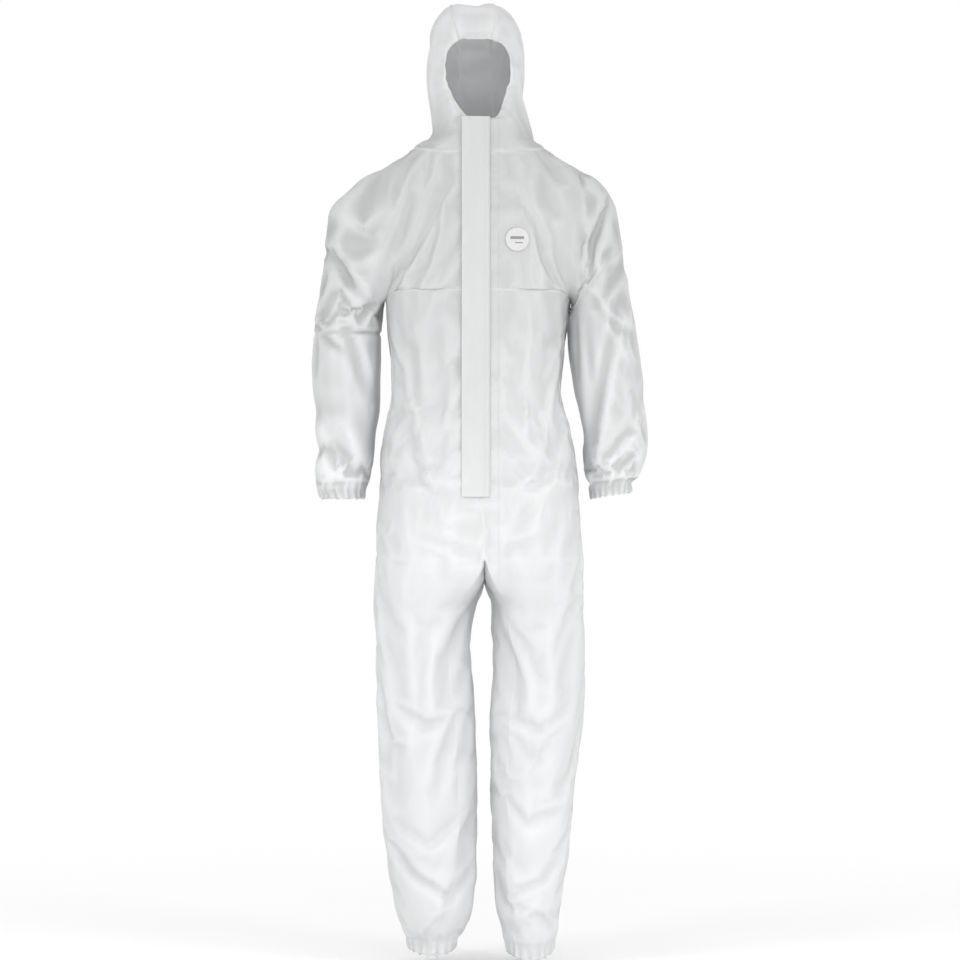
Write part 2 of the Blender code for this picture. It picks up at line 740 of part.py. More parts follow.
def build_flap():
    """The flap is sewn on beside the zip; its free edge carries adhesive under a peel-off liner."""
    origin = closure_point(FLAP_HINGE_X, FLAP_HINGE_OUT, (FLAP_LOW_Z + FLAP_HIGH_Z) / 2)
    flat = [(x, FLAP_OUT) for x in (0.0085, -0.0120, FLAP_FREE_X)]
    outline = [(FLAP_HINGE_X, FLAP_HINGE_OUT)] + flat
    rows = [[closure_point(x, out, z) for x, out in outline] for z in (FLAP_LOW_Z, FLAP_HIGH_Z)]
    sheet("storm_flap", rows, WHITE, thickness=0.0010, origin=origin)
    closure_box("flap_adhesive", (-0.0320, -0.0140), (0.0043, 0.0047), (0.875, 1.545), ADHESIVE, origin)
    closure_box("release_liner", (-0.0325, -0.0135), (0.0036, 0.0039), (0.873, 1.547), LINER, origin)


def build_labels():
    """A round label on the left chest and a small one inside the back of the neck."""
    z = 1.338
    half_width, y_back, power = section(TORSO, z)
    angle = math.asin(((0.068 - FLAT_HALF) / (half_width - FLAT_HALF)) ** (power / 2))
    here = torso_point(angle, z)
    along = (torso_point(angle + 0.12, z) - torso_point(angle - 0.12, z)).normalized()
    up = (torso_point(angle, z + 0.02) - torso_point(angle, z - 0.02)).normalized()
    outward = along.cross(up).normalized()
    mesh = bpy.data.meshes.new("chest_label")
    work = bmesh.new()
    bmesh.ops.create_cone(work, cap_ends=True, segments=24, radius1=0.0215, radius2=0.0215, depth=0.0004)
    turn = Matrix((along, up, outward)).transposed().to_4x4()
    work.transform(Matrix.Translation(here + outward * 0.0026) @ turn)
    work.to_mesh(mesh)
    work.free()
    label = add_object("chest_label", mesh, LABEL)
    for face in label.data.polygons:
        face.use_smooth = False

    rows = []
    for height in (1.462, 1.496):
        y = section(TORSO, height)[1] - 0.0035
        rows.append([Vector((x, y, height)) for x in (-0.017, 0.017)])
    sheet("size_label", rows, LABEL, thickness=0.0004)


build_yoke()
build_body()
build_waist_elastic()
build_sleeves()
build_legs()
build_hood()
build_face_elastic()
build_zip()
build_flap()
build_labels()
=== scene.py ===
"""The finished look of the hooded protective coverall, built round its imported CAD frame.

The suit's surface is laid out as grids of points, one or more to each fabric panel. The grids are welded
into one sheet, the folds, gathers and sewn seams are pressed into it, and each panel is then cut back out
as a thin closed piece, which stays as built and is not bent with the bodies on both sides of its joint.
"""

import json
import math

import bmesh
import bpy
import numpy as np
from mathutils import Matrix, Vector


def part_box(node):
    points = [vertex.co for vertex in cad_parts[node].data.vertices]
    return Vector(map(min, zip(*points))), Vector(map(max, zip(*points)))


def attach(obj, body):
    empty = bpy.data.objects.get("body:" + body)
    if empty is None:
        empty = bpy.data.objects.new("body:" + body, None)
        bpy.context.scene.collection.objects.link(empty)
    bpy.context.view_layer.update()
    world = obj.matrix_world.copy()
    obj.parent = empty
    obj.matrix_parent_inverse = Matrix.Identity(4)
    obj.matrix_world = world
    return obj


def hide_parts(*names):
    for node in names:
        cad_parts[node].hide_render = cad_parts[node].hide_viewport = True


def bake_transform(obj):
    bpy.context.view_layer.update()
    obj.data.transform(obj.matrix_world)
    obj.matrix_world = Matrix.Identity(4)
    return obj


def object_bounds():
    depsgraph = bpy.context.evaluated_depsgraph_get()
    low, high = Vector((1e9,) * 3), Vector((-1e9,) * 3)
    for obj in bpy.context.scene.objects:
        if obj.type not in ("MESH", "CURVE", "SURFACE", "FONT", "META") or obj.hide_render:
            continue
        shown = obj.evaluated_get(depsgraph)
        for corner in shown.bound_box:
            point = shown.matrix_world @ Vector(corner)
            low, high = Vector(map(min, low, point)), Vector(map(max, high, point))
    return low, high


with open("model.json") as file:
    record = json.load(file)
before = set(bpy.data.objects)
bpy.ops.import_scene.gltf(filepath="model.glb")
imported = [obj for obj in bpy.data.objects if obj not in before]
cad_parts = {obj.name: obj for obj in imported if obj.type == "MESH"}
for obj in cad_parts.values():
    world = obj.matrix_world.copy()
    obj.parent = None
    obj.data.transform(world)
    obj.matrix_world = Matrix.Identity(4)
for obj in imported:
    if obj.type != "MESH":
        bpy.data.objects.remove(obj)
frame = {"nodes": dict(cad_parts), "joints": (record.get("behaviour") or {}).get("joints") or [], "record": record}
cad_low, cad_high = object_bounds()

SIDES = (("right", -1), ("left", 1))
JOINTS = {joint["name"]: joint for joint in frame["joints"]}

# Landmarks read from the frame, metres
NECK_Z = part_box("yoke_back")[1].z
LEG_TOP_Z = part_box("body_back_right")[0].z
KNEE_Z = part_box("shin_back_right")[1].z
ELBOW_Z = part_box("sleeve_lower_right")[1].z
CUFF_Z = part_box("sleeve_lower_right")[0].z
SLEEVE_TOP_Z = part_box("sleeve_mid_right")[1].z
CHEST_SEAM_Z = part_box("body_front_right")[1].z
FLAP_LOW_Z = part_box("storm_flap")[0].z
CROTCH_Z = LEG_TOP_Z - 0.019
ZIP_LOW_Y, ZIP_LOW_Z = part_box("zip_tape_right")[0].yz
ZIP_Y = ZIP_LOW_Y + 0.0003  # the middle of the zip at its low end
ZIP_EDGE = 0.0052  # half width of the gap the zip shows through
FLAT_HALF = 0.018  # half width of the flat strip down the centre front and back

# The zip and the flap's hinge lie along one straight line, tilted back towards the neck.
_axis = JOINTS["flap_open"]["axis"]
FRONT_SLOPE = _axis[1] / _axis[2]
FRONT_Z0 = LEG_TOP_Z
FRONT_Y0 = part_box("body_front_right")[0].y + 0.0006

_label_low, _label_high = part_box("chest_label")
LABEL_X = (_label_low.x + _label_high.x) / 2
LABEL_Z = (_label_low.z + _label_high.z) / 2 - 0.006
LABEL_RADIUS = (_label_high.z - _label_low.z) / 2

FABRIC = 0.0004  # thickness of the fabric
BAND_THICKNESS = 0.0008  # of the waist elastic and of the flap's two layers
LABEL_THICKNESS = 0.0003
HEM_PROFILE = ((0.0008, -0.0008), (0.0026, -0.0004), (0.0034, 0.004), (0.0038, 0.011), (0.0040, 0.020))
CUFF_STITCH = 0.028  # height of the stitches above the edge of the cuff
ANKLE_STITCH = 0.030
STITCH_WIDTH = 0.0022
SLACK = 0.012  # the cloth has this share more length than it needs
SETTLE_FRAMES = 12
SETTLE_LIMIT = 0.008  # no point moves further than this
LOOSE_HOLD = 0.1  # how firmly loose cloth is held where it is, from 0 to 1
WAIST_Z = 1.06
WAIST_BAND = 0.020  # height of the waist elastic
SEAM_DEPTH = 0.0009  # how far a sewn seam sinks below the panels
SEAM_WIDTH = 0.0028
SEAM_STEPS = (0.0014, 0.0034, 0.0065)  # distances from a seam of the first grid lines
WELD_DISTANCE = 0.00005
ARMHOLE_HALF_HEIGHT = 0.125
ARMPIT_Z = CHEST_SEAM_Z - 0.019
ARMHOLE_Z = ARMPIT_Z + ARMHOLE_HALF_HEIGHT
ARMHOLE_HALF_ANGLE = math.radians(40)
NECK_DIP = 0.011  # how much lower the neck seam hangs at the front
ARM_STEPS = 38  # grid steps round half an arm
BODY_STEPS = 34  # grid steps from the centre line to a side seam
CROTCH_STEPS = 8  # grid steps up the crotch seam
CROTCH_SHIFT = 0.008  # the crotch hangs this far to the left of the middle
LEG_BLEND = 0.085  # depth over which a leg takes on its own section
HOOD_STEPS = 34  # grid steps round half the hood
HOOD_TOP_Z = 1.7764

CAMERA_DISTANCE = 7.0
FRAME_WIDTH = 1.791  # width of what the camera sees at the suit
FRAME_MIDDLE_Z = 0.8901
WORLD_LIGHT = 0.93
FLOOR_DROP = 0.012  # the hems hang this far above the floor
FLOOR_RADIUS = 40

# Torso: height, half width on the right, on the left, y of the back, roundness
TORSO = np.array([
    (LEG_TOP_Z - 0.03, 0.1965, 0.1945, 0.134, 2.5),
    (LEG_TOP_Z, 0.1950, 0.1930, 0.138, 2.5),
    (0.800, 0.1910, 0.1870, 0.1465, 2.5),
    (0.900, 0.1850, 0.1800, 0.136, 2.4),
    (0.980, 0.1780, 0.1680, 0.113, 2.4),
    (1.060, 0.1650, 0.1500, 0.087, 2.3),
    (1.150, 0.1690, 0.1580, 0.100, 2.3),
    (1.226, 0.1770, 0.1680, 0.113, 2.3),
    (1.300, 0.1870, 0.1840, 0.122, 2.3),
    (1.400, 0.1930, 0.1920, 0.118, 2.2),
    (1.476, 0.1850, 0.1840, 0.098, 1.8),
    (1.492, 0.1560, 0.1560, 0.094, 1.9),
    (1.508, 0.1200, 0.1180, 0.090, 2.2),
])
# Hood: height, centre x, half width, y of the front, y of the back, roundness
HOOD = np.array([
    (NECK_Z, -0.0010, 0.1210, -0.1030, 0.090, 2.2),
    (1.516, -0.0010, 0.1050, -0.1026, 0.090, 2.2),
    (1.527, 0.0025, 0.0985, -0.1020, 0.092, 2.2),
    (1.560, 0.0015, 0.0912, -0.1005, 0.103, 2.2),
    (1.590, -0.0050, 0.0875, -0.1000, 0.112, 2.2),
    (1.655, -0.0080, 0.0910, -0.1000, 0.124, 2.2),
    (1.705, -0.0084, 0.0880, -0.0940, 0.126, 2.2),
    (1.732, -0.0095, 0.0825, -0.0850, 0.122, 2.2),
    (1.7485, -0.0100, 0.0740, -0.0730, 0.113, 2.2),
    (1.767, -0.0110, 0.0570, -0.0530, 0.097, 2.3),
    (HOOD_TOP_Z, -0.0140, 0.0435, -0.0360, 0.082, 2.6),
])
# Legs: height, centre x, half width (right leg, then left leg), centre y, half depth
LEGS = {
    -1: np.array([
        (0.000, -0.0890, 0.0440, 0.004, 0.055),
        (0.020, -0.0890, 0.0455, 0.004, 0.056),
        (0.034, -0.0888, 0.0490, 0.004, 0.060),
        (0.052, -0.0885, 0.0565, 0.004, 0.068),
        (0.088, -0.0880, 0.0695, 0.005, 0.081),
        (0.144, -0.0905, 0.0765, 0.006, 0.089),
        (0.218, -0.0922, 0.0835, 0.006, 0.095),
        (0.293, -0.0935, 0.0885, 0.006, 0.099),
        (0.442, -0.1000, 0.0910, 0.004, 0.105),
        (0.590, -0.1060, 0.0870, 0.002, 0.114),
        (0.700, -0.1008, 0.0955, 0.000, 0.129),
    ]),
    1: np.array([
        (0.000, 0.0930, 0.0430, 0.004, 0.053),
        (0.020, 0.0930, 0.0440, 0.004, 0.054),
        (0.034, 0.0930, 0.0460, 0.004, 0.058),
        (0.052, 0.0930, 0.0490, 0.004, 0.064),
        (0.088, 0.0910, 0.0570, 0.005, 0.076),
        (0.144, 0.0923, 0.0640, 0.006, 0.086),
        (0.218, 0.0955, 0.0700, 0.006, 0.093),
        (0.293, 0.0970, 0.0760, 0.006, 0.098),
        (0.442, 0.1052, 0.0860, 0.004, 0.105),
        (0.590, 0.1090, 0.0855, 0.002, 0.114),
        (0.700, 0.1007, 0.0935, 0.000, 0.129),
    ]),
}
# Sleeves below the armhole: height, centre x, half width, half depth
SLEEVES = {
    -1: np.array([
        (CUFF_Z, -0.2560, 0.0410, 0.043),
        (0.872, -0.2585, 0.0440, 0.045),
        (0.890, -0.2565, 0.0490, 0.052),
        (0.909, -0.2557, 0.0515, 0.057),
        (0.946, -0.2500, 0.0515, 0.061),
        (0.984, -0.2510, 0.0560, 0.066),
        (1.020, -0.2460, 0.0580, 0.068),
        (1.060, -0.2490, 0.0615, 0.071),
        (1.133, -0.2490, 0.0615, 0.075),
        (SLEEVE_TOP_Z, -0.2455, 0.0600, 0.078),
    ]),
    1: np.array([
        (CUFF_Z, 0.2440, 0.0385, 0.043),
        (0.872, 0.2440, 0.0395, 0.045),
        (0.890, 0.2470, 0.0460, 0.052),
        (0.909, 0.2490, 0.0520, 0.057),
        (0.946, 0.2520, 0.0585, 0.063),
        (0.984, 0.2520, 0.0605, 0.067),
        (1.060, 0.2420, 0.0650, 0.072),
        (1.133, 0.2315, 0.0660, 0.076),
        (SLEEVE_TOP_Z, 0.2270, 0.0620, 0.078),
    ]),
}
HEM_LIFT = {-1: (0.010, 0.009), 1: (0.0, 0.014)}  # height of the ankle hems, and the rise of their sides
SHOULDER_Z = 1.400
SHOULDER_CORNER = {-1: 0.013, 1: 0.003}  # how far each shoulder stands out over a smooth curve
SLEEVE_SEAM = {-1: 1.164, 1: 1.258}  # height at which each sleeve tube is sewn on, at its front

FACE_Z = 1.6295
FACE_HALF_HEIGHT = 0.0735
FACE_HALF_WIDTH = 0.0616
FACE_ROUNDNESS = 3.4  # 2 is an oval; more is squarer at the top corners
FACE_SHIFT = 0.0045  # the opening sits this far to the left of the hood's own middle
CROWN_HALF_WIDTH = 0.042
BROW_HALF_WIDTH = 0.031  # half width of the centre panel where it meets the face opening
NAPE_HALF_WIDTH = 0.030
CROWN_ARCH = 0.0036  # rise of the crown's middle above the side panels' top edge
FACE_LOW_Z = FACE_Z - FACE_HALF_HEIGHT


# Small maths


def ease(t):
    t = np.clip(t, 0.0, 1.0)
    return t * t * (3 - 2 * t)


def mix(a, b, t):
    return a + (b - a) * t


def hermite(start, leave, end, arrive, t):
    """A smooth step from start to end, with the slopes it leaves and arrives with."""
    return (
        start * (2 * t**3 - 3 * t**2 + 1)
        + leave * (t**3 - 2 * t**2 + t)
        + end * (3 * t**2 - 2 * t**3)
        + arrive * (t**3 - t**2)
    )


def curve(table, column, z):
    """A smooth curve through one column of a table, at heights z."""
    xs, ys = table[:, 0], table[:, column]
    slopes = np.gradient(ys, xs)
    z = np.clip(z, xs[0], xs[-1])
    i = np.clip(np.searchsorted(xs, z) - 1, 0, len(xs) - 2)
    h = xs[i + 1] - xs[i]
    return hermite(ys[i], slopes[i] * h, ys[i + 1], slopes[i + 1] * h, (z - xs[i]) / h)


def power(value, exponent):
    return np.sign(value) * np.abs(value) ** exponent


def bump(x, centre, width):
    """1 at the centre, falling smoothly to 0 on both sides."""
    return np.exp(-(((x - centre) / width) ** 2))


def stack(x, y, z):
    return np.stack(np.broadcast_arrays(x, y, z), axis=-1).astype(float)


def spread(count, length, seam_start=False, seam_end=False):
    """Fractions from 0 to 1, with extra steps close to a sewn end."""
    near = np.array(SEAM_STEPS) / length
    inner = np.linspace(0, 1, count + 1)
    parts = [inner]
    if seam_start:
        parts = [inner[(inner == 0) | (inner > near[-1] * 1.3)], near]
    if seam_end:
        kept = np.concatenate(parts)
        parts = [kept[(kept == 1) | (kept < 1 - near[-1] * 1.3)], 1 - near]
    return np.sort(np.concatenate(parts))


def front_y(z):
    return FRONT_Y0 + FRONT_SLOPE * (z - FRONT_Z0)


# The hood starts on the torso's own neck line and keeps to the closure's straight line up to the face.
_right, _left, _back, _round = (curve(TORSO, column, NECK_Z) for column in range(1, 5))
HOOD[0, 1:] = (_left - _right) / 2, (_left + _right) / 2, front_y(NECK_Z), _back, _round
HOOD[1:4, 3] = front_y(HOOD[1:4, 0])


# Surfaces. Angles run from the front, 0, to the back, pi, on one side.


def oval(half_width, y_front, y_back, roundness, angle):
    middle, depth = (y_front + y_back) / 2, (y_back - y_front) / 2
    x = FLAT_HALF + power(np.sin(angle), 2 / roundness) * (half_width - FLAT_HALF)
    y = middle - power(np.cos(angle), 2 / roundness) * depth
    return x, y


def torso(side, angle, z):
    width = curve(TORSO, 1 if side < 0 else 2, z)
    x, y = oval(width, front_y(z), curve(TORSO, 3, z), curve(TORSO, 4, z), angle)
    return stack(x * side, y, z)


def hood(side, angle, z):
    x, y = oval(curve(HOOD, 2, z), curve(HOOD, 3, z), curve(HOOD, 4, z), curve(HOOD, 5, z), angle)
    return stack(x * side + curve(HOOD, 1, z), y, z)


def neck_dip(angle):
    """The neck seam hangs a little lower at the front than at the back."""
    return NECK_DIP * ease((math.radians(80) - angle) / math.radians(70))


def shoulder_z(angle, base):
    """Height on the upper body of what would lie at height base if the neck seam were level."""
    return base - neck_dip(angle) * ease((base - NECK_Z + 0.10) / 0.10)


def low_hood(side, angle, z):
    """The hood's lowest part, which starts on the torso's own surface at the neck seam."""
    share = ease((z - NECK_Z) / 0.02)[..., None]
    return mix(torso(side, angle, z), hood(side, angle, z), share)


def hood_angle(x, z):
    """Angle at which the hood's front reaches distance x from its own middle."""
    share = (x - FLAT_HALF) / (curve(HOOD, 2, z) - FLAT_HALF)
    return np.arcsin(np.clip(share, 0, 1) ** (curve(HOOD, 5, z) / 2))


def side_seam_angle(z):
    """The side seam lies forward of the silhouette at the waist, so a strip of the back panel shows."""
    forward = ease((ARMPIT_Z - z) / 0.10) * (0.55 + 0.45 * ease((z - 0.45) / 0.3))
    return math.pi / 2 - math.radians(15) * forward


def chest_seam_z(share):
    """The chest seam is level across the front and drops to the armpit; share runs from centre to side."""
    middle = CHEST_SEAM_Z - 0.004
    return middle - (middle - ARMPIT_Z) * ease((share - 0.62) / 0.38)


# Grids of points, and the pieces they make up

grids = []
pieces = {}


def piece(name, bodies, replaced):
    pieces[name] = {"bodies": bodies, "replaces": replaced, "grids": []}


def add_grid(name, points, weight=0.0, push=0.0, seams="", closed=False, follows=None):
    """A grid of points for a piece. seams names its sewn edges: l and r first and last column, b and t rows.

    A grid that follows another one runs on from its last row, so it faces the same way round.
    """
    rows, columns = points.shape[:2]
    seam = np.zeros((rows, columns))
    along = np.linalg.norm(np.diff(points, axis=0), axis=2)
    across = np.linalg.norm(np.diff(points, axis=1), axis=2)
    from_bottom = np.vstack([np.zeros((1, columns)), np.cumsum(along, axis=0)])
    from_left = np.hstack([np.zeros((rows, 1)), np.cumsum(across, axis=1)])
    distance = {
        "b": from_bottom,
        "t": from_bottom[-1] - from_bottom,
        "l": from_left,
        "r": from_left[:, -1:] - from_left,
    }
    for edge in seams:
        seam = np.maximum(seam, bump(distance[edge], 0.0, SEAM_WIDTH))
    grid = {
        "piece": name,
        "points": points,
        "weight": np.broadcast_to(weight, (rows, columns)).astype(float),
        "push": np.broadcast_to(push, (rows, columns)).astype(float),
        "seam": seam,
        "closed": closed,
        "follows": follows,
    }
    grids.append(grid)
    pieces[name]["grids"].append(grid)
    return grid


# Lower body: from the legs' top to the chest seam


def hip_weight(x, z):
    """A weight from 0 on the torso to 1 on the thigh, kept with the points but not used to bend them; the line
    between them rises from the crotch to the hip.
    """
    groin = CROTCH_Z + 0.125 * np.clip(np.abs(x) / 0.19, 0, 1)
    return ease((groin - z) / 0.15)


def waist_gathers(angle, z):
    """Vertical pleats that the elastic draws across the back of the waist."""
    back = ease((angle - math.radians(100)) / math.radians(25))
    near = bump(z, WAIST_Z, 0.045)
    pleats = np.sin(angle * 46 + 1.3 * np.sin(angle * 9)) * 0.0026 + np.sin(angle * 23 + 0.7) * 0.0012
    belt = -0.006 * bump(z, WAIST_Z, 0.013)
    return back * (near * pleats + belt)


def body_columns():
    return spread(BODY_STEPS, 0.25, seam_start=True, seam_end=True)


def set_middle_columns(points, side, edge, beside):
    """Line up a panel's first columns with the centre line: its edge, the column beside it and two more."""
    for column, x in enumerate((edge, beside, 0.010, 0.014)):
        points[:, column, 0] = x * side


def build_lower_body():
    rows = spread(66, 0.48, seam_end=True)
    for name, side in SIDES:
        for part in ("front", "back"):
            share, level = np.meshgrid(body_columns(), rows)
            z = mix(LEG_TOP_Z, chest_seam_z(share), level)
            seam_angle = side_seam_angle(z)
            angle = share * seam_angle if part == "front" else mix(math.pi, seam_angle, share)
            points = torso(side, angle, z)
            edge, beside = 0.0, 0.004
            if part == "front":
                above_zip_end = ease((z[:, 1] - ZIP_LOW_Z) / 0.004)
                edge = np.where(z[:, 0] < ZIP_LOW_Z, 0.0, ZIP_EDGE)
                opened = mix(points[:, 1, 0] * side, ZIP_EDGE + 0.003, above_zip_end)
                beside = np.where(above_zip_end == 0, beside, opened)
            set_middle_columns(points, side, edge, beside)
            weight = hip_weight(points[..., 0], z)
            add_grid(f"lower_{part}_{name}", points, weight, waist_gathers(angle, z), seams="lrt")


# Upper body: from the chest seam to the neck, with the arms' tops cut in one


def arm_half_turns():
    return math.pi * np.arange(ARM_STEPS + 1) / ARM_STEPS


def upper_rows():
    """Heights from the armpit to the neck, with the armhole's half angle at each."""
    turns = arm_half_turns()[::-1]
    z = ARMHOLE_Z + ARMHOLE_HALF_HEIGHT * np.cos(turns)
    hole = ARMHOLE_HALF_ANGLE * np.sin(turns)
    top = z[-1] + (NECK_Z - z[-1]) * spread(7, 0.03, seam_end=True)[1:]
    return np.concatenate([z, top]), np.concatenate([hole, np.zeros(len(top))])


def build_upper_body():
    heights, holes = upper_rows()
    for name, side in SIDES:
        for part in ("front", "back"):
            share, base = np.meshgrid(body_columns(), heights)
            _, hole = np.meshgrid(body_columns(), holes)
            sag = (chest_seam_z(share) - ARMPIT_Z) * (1 - ease((base - ARMPIT_Z) / 0.09))
            z = base + sag
            last = math.pi / 2 - hole
            angle = share * last if part == "front" else math.pi - share * last
            z = z + shoulder_z(angle, base) - base
            points = torso(side, angle, z)
            middle = (ZIP_EDGE, ZIP_EDGE + 0.003) if part == "front" else (0.0, 0.004)
            set_middle_columns(points, side, *middle)
            add_grid(f"upper_{part}_{name}", points, seams="bt" if part == "back" else "btl")


def arm_rows(side):
    """Rows of points from the armhole to the cuff, each closed round the arm, and the turn of each column."""
    turns = np.concatenate([arm_half_turns(), 2 * math.pi - arm_half_turns()[::-1][1:-1]])
    front = turns <= math.pi
    across = ARMHOLE_HALF_ANGLE * np.where(front, np.sin(turns), np.sin(2 * math.pi - turns))
    hole_angle = np.where(front, math.pi / 2 - across, math.pi / 2 + across)
    start_z = shoulder_z(hole_angle, ARMHOLE_Z + ARMHOLE_HALF_HEIGHT * np.cos(turns))
    start = torso(side, hole_angle, start_z)
    end = arm_ring(side, turns, SLEEVE_TOP_Z)
    low = ((1 - np.cos(turns)) / 2)[:, None]
    reach, flare = (0.33, 0.05) if side < 0 else (0.29, 0.11)
    leave = mix(np.array([reach * side, 0, -0.10]), np.array([0.04 * side, 0, -0.03]), low)
    arrive = mix(np.array([flare * side, 0, -0.34]), np.array([0, 0, -0.05]), low)
    outer = ((1 + np.cos(turns)) / 2) ** 2
    rows = []
    for t in np.linspace(0, 1, 35)[:-1]:
        row = hermite(start, leave, end, arrive, t)
        row[:, 0] += side * SHOULDER_CORNER[side] * bump(row[:, 2], SHOULDER_Z, 0.030) * outer * ease(t * 4)
        rows.append(row)
    for z in CUFF_Z + (SLEEVE_TOP_Z - CUFF_Z) * spread(50, 0.33, seam_start=True)[::-1]:
        rows.append(arm_ring(side, turns, z))
    return np.array(rows), turns


def arm_ring(side, turns, z):
    table = SLEEVES[side]
    x = curve(table, 1, z) + side * curve(table, 2, z) * np.cos(turns)
    y = -curve(table, 3, z) * np.sin(turns) + 0.002
    return stack(x, y, z)


def build_arms():
    for name, side in SIDES:
        points, turns = arm_rows(side)
        front = int(ARM_STEPS / 2)
        seam_row = int(np.argmin(np.abs(points[:, front, 2] - SLEEVE_SEAM[side])))
        cap = points[: seam_row + 1]
        weight = ease(np.arange(seam_row + 1) / seam_row)[:, None]
        first = cap[:, : ARM_STEPS + 1]
        second = np.concatenate([cap[:, ARM_STEPS:], cap[:, :1]], axis=1)
        add_grid(f"upper_front_{name}", first, weight, seams="t")["armhole"] = True
        add_grid(f"upper_back_{name}", second, weight, seams="t")["armhole"] = True

        tube = points[seam_row:]
        z = tube[..., 2]
        turn = np.broadcast_to(turns, z.shape)
        weight = ease((ELBOW_Z + 0.055 - z) / 0.11)
        near_cuff = np.exp(-np.clip(z - CUFF_Z, 0, 1) / 0.022)
        gathers = near_cuff * (0.0020 * np.sin(turn * 19 + 1.1 * side) + 0.0011 * np.sin(turn * 31 + 2))
        stitch = -0.0012 * bump(z, CUFF_Z + CUFF_STITCH, STITCH_WIDTH)
        if side > 0:
            slant = 0.006 * (1 + np.cos(turn)) * ease((CUFF_Z + 0.09 - z) / 0.09)
            tube = tube + stack(0, 0, slant)
        outer = add_grid(f"sleeve_{name}", tube, weight, gathers + stitch, seams="b", closed=True)
        inner = hem_rows(tube[-1], tube[-1].mean(axis=0))
        add_grid(f"sleeve_{name}", inner, 1.0, -gathers[-1], closed=True, follows=outer)


def hem_rows(ring, middle):
    """The turned-up inside of a hem, from its lower edge upwards."""
    inward = middle - ring
    inward[:, 2] = 0
    inward /= np.linalg.norm(inward, axis=1)[:, None]
    rows = [ring + inward * inset + np.array([0, 0, rise]) for inset, rise in HEM_PROFILE]
    return np.array([ring] + rows)


# Legs


def leg_ring(side, angle, z):
    table = LEGS[side]
    x = curve(table, 1, z) + side * curve(table, 2, z) * np.sin(angle)
    y = curve(table, 3, z) - curve(table, 4, z) * np.cos(angle)
    return stack(x, y, z)


def leg_top(side, part):
    """The top row of a leg panel: the crotch curve, then along the torso to the side seam."""
    columns = body_columns()
    edge = side_seam_angle(LEG_TOP_Z)
    angle = columns * edge if part == "front" else mix(math.pi, edge, columns)
    outer = torso(side, angle, np.full(len(columns), LEG_TOP_Z))
    outer[:4, 0] = np.array([0, 0.004, 0.010, 0.014]) * side
    t = np.arange(CROTCH_STEPS) / CROTCH_STEPS
    inner = stack(np.zeros(len(t)), outer[0, 1] * t, mix(CROTCH_Z - 0.006, LEG_TOP_Z, t**2))
    return np.concatenate([inner, outer])


def leg_panel(side, part, z_levels):
    """One leg panel from the crotch to the hem; it runs from the inside seam to the side seam."""
    top = leg_top(side, part)
    z_blend = LEG_TOP_Z - LEG_BLEND
    inner_share = 0.30
    share = np.concatenate([
        np.linspace(0, inner_share, CROTCH_STEPS + 1)[:-1],
        mix(inner_share, 1, body_columns()),
    ])
    inseam = -math.pi / 2 if part == "front" else math.pi * 1.5
    rows = []
    for z in z_levels:
        t = max(0.0, (z - z_blend) / LEG_BLEND)
        heights = np.where(t > 0, mix(z_blend, top[:, 2], t), z)
        seam_angle = mix(side_seam_angle(0.5), side_seam_angle(LEG_TOP_Z), t)
        ring = leg_ring(side, mix(inseam, seam_angle, share), heights)
        ring[:, :2] = mix(ring[:, :2], top[:, :2], ease(t) ** 0.8)
        rows.append(ring)
    return np.array(rows)


def ankle_gathers(side, points):
    """Small pleats above the ankle hem, and the row of stitches that holds the elastic."""
    z = points[..., 2]
    turn = np.arctan2(points[..., 0] - curve(LEGS[side], 1, z), points[..., 1])
    near_hem = np.exp(-np.clip(z, 0, 1) / 0.030)
    pleats = near_hem * (0.0024 * np.sin(turn * 17 + side) + 0.0012 * np.sin(turn * 29 + 1))
    return pleats - 0.0013 * bump(z, ANKLE_STITCH, STITCH_WIDTH)


def lift_hem(side, points):
    """Set the hem at its own height, with its inner and outer sides a little higher."""
    z = points[..., 2]
    across = (points[..., 0] - curve(LEGS[side], 1, z)) / curve(LEGS[side], 2, z)
    rise, rounding = HEM_LIFT[side]
    points[..., 2] += rise * ease((0.10 - z) / 0.10) + rounding * across**2 * ease((0.05 - z) / 0.05)


def build_legs():
    z_levels = LEG_TOP_Z * spread(104, LEG_TOP_Z, seam_start=True)[::-1]
    split = int(np.argmin(np.abs(z_levels - (KNEE_Z + LEG_TOP_Z) / 2)))
    for name, side in SIDES:
        for part in ("front", "back"):
            points = leg_panel(side, part, z_levels)
            push = ankle_gathers(side, points)
            lift_hem(side, points)
            upper, lower = points[: split + 1], points[split:]
            from_hip = hip_weight(upper[..., 0], upper[..., 2])
            weight = np.maximum(from_hip, ease((CROTCH_Z - 0.02 - upper[..., 2]) / 0.10))
            weight[0] = from_hip[0]
            weight[-1] = 1.0
            add_grid(f"lower_{part}_{name}", upper, weight, push[: split + 1], seams="lr")
            weight = ease((KNEE_Z + 0.075 - lower[..., 2]) / 0.15)
            weight[0] = 0.0
            outer = add_grid(f"leg_{part}_{name}", lower, weight, push[split:], seams="lr")
            middle = np.array([curve(LEGS[side], 1, 0.0), 0.004, 0.0])
            inner = hem_rows(lower[-1], middle)
            add_grid(f"leg_{part}_{name}", inner, 1.0, -push[-1], follows=outer)


# Hood


def face_half_width(side, z):
    """The opening is flat along its top and narrows to a point at the chin."""
    share = np.clip((z - FACE_Z) / FACE_HALF_HEIGHT, -1, 1)
    above = (1 - np.abs(share) ** FACE_ROUNDNESS) ** (1 / FACE_ROUNDNESS)
    below = (1 - 0.50 * np.abs(share) ** 1.2) * (1 - np.abs(share) ** 7) ** (1 / 7)
    return (FACE_HALF_WIDTH + FACE_SHIFT * side) * np.where(share > 0, above, below)


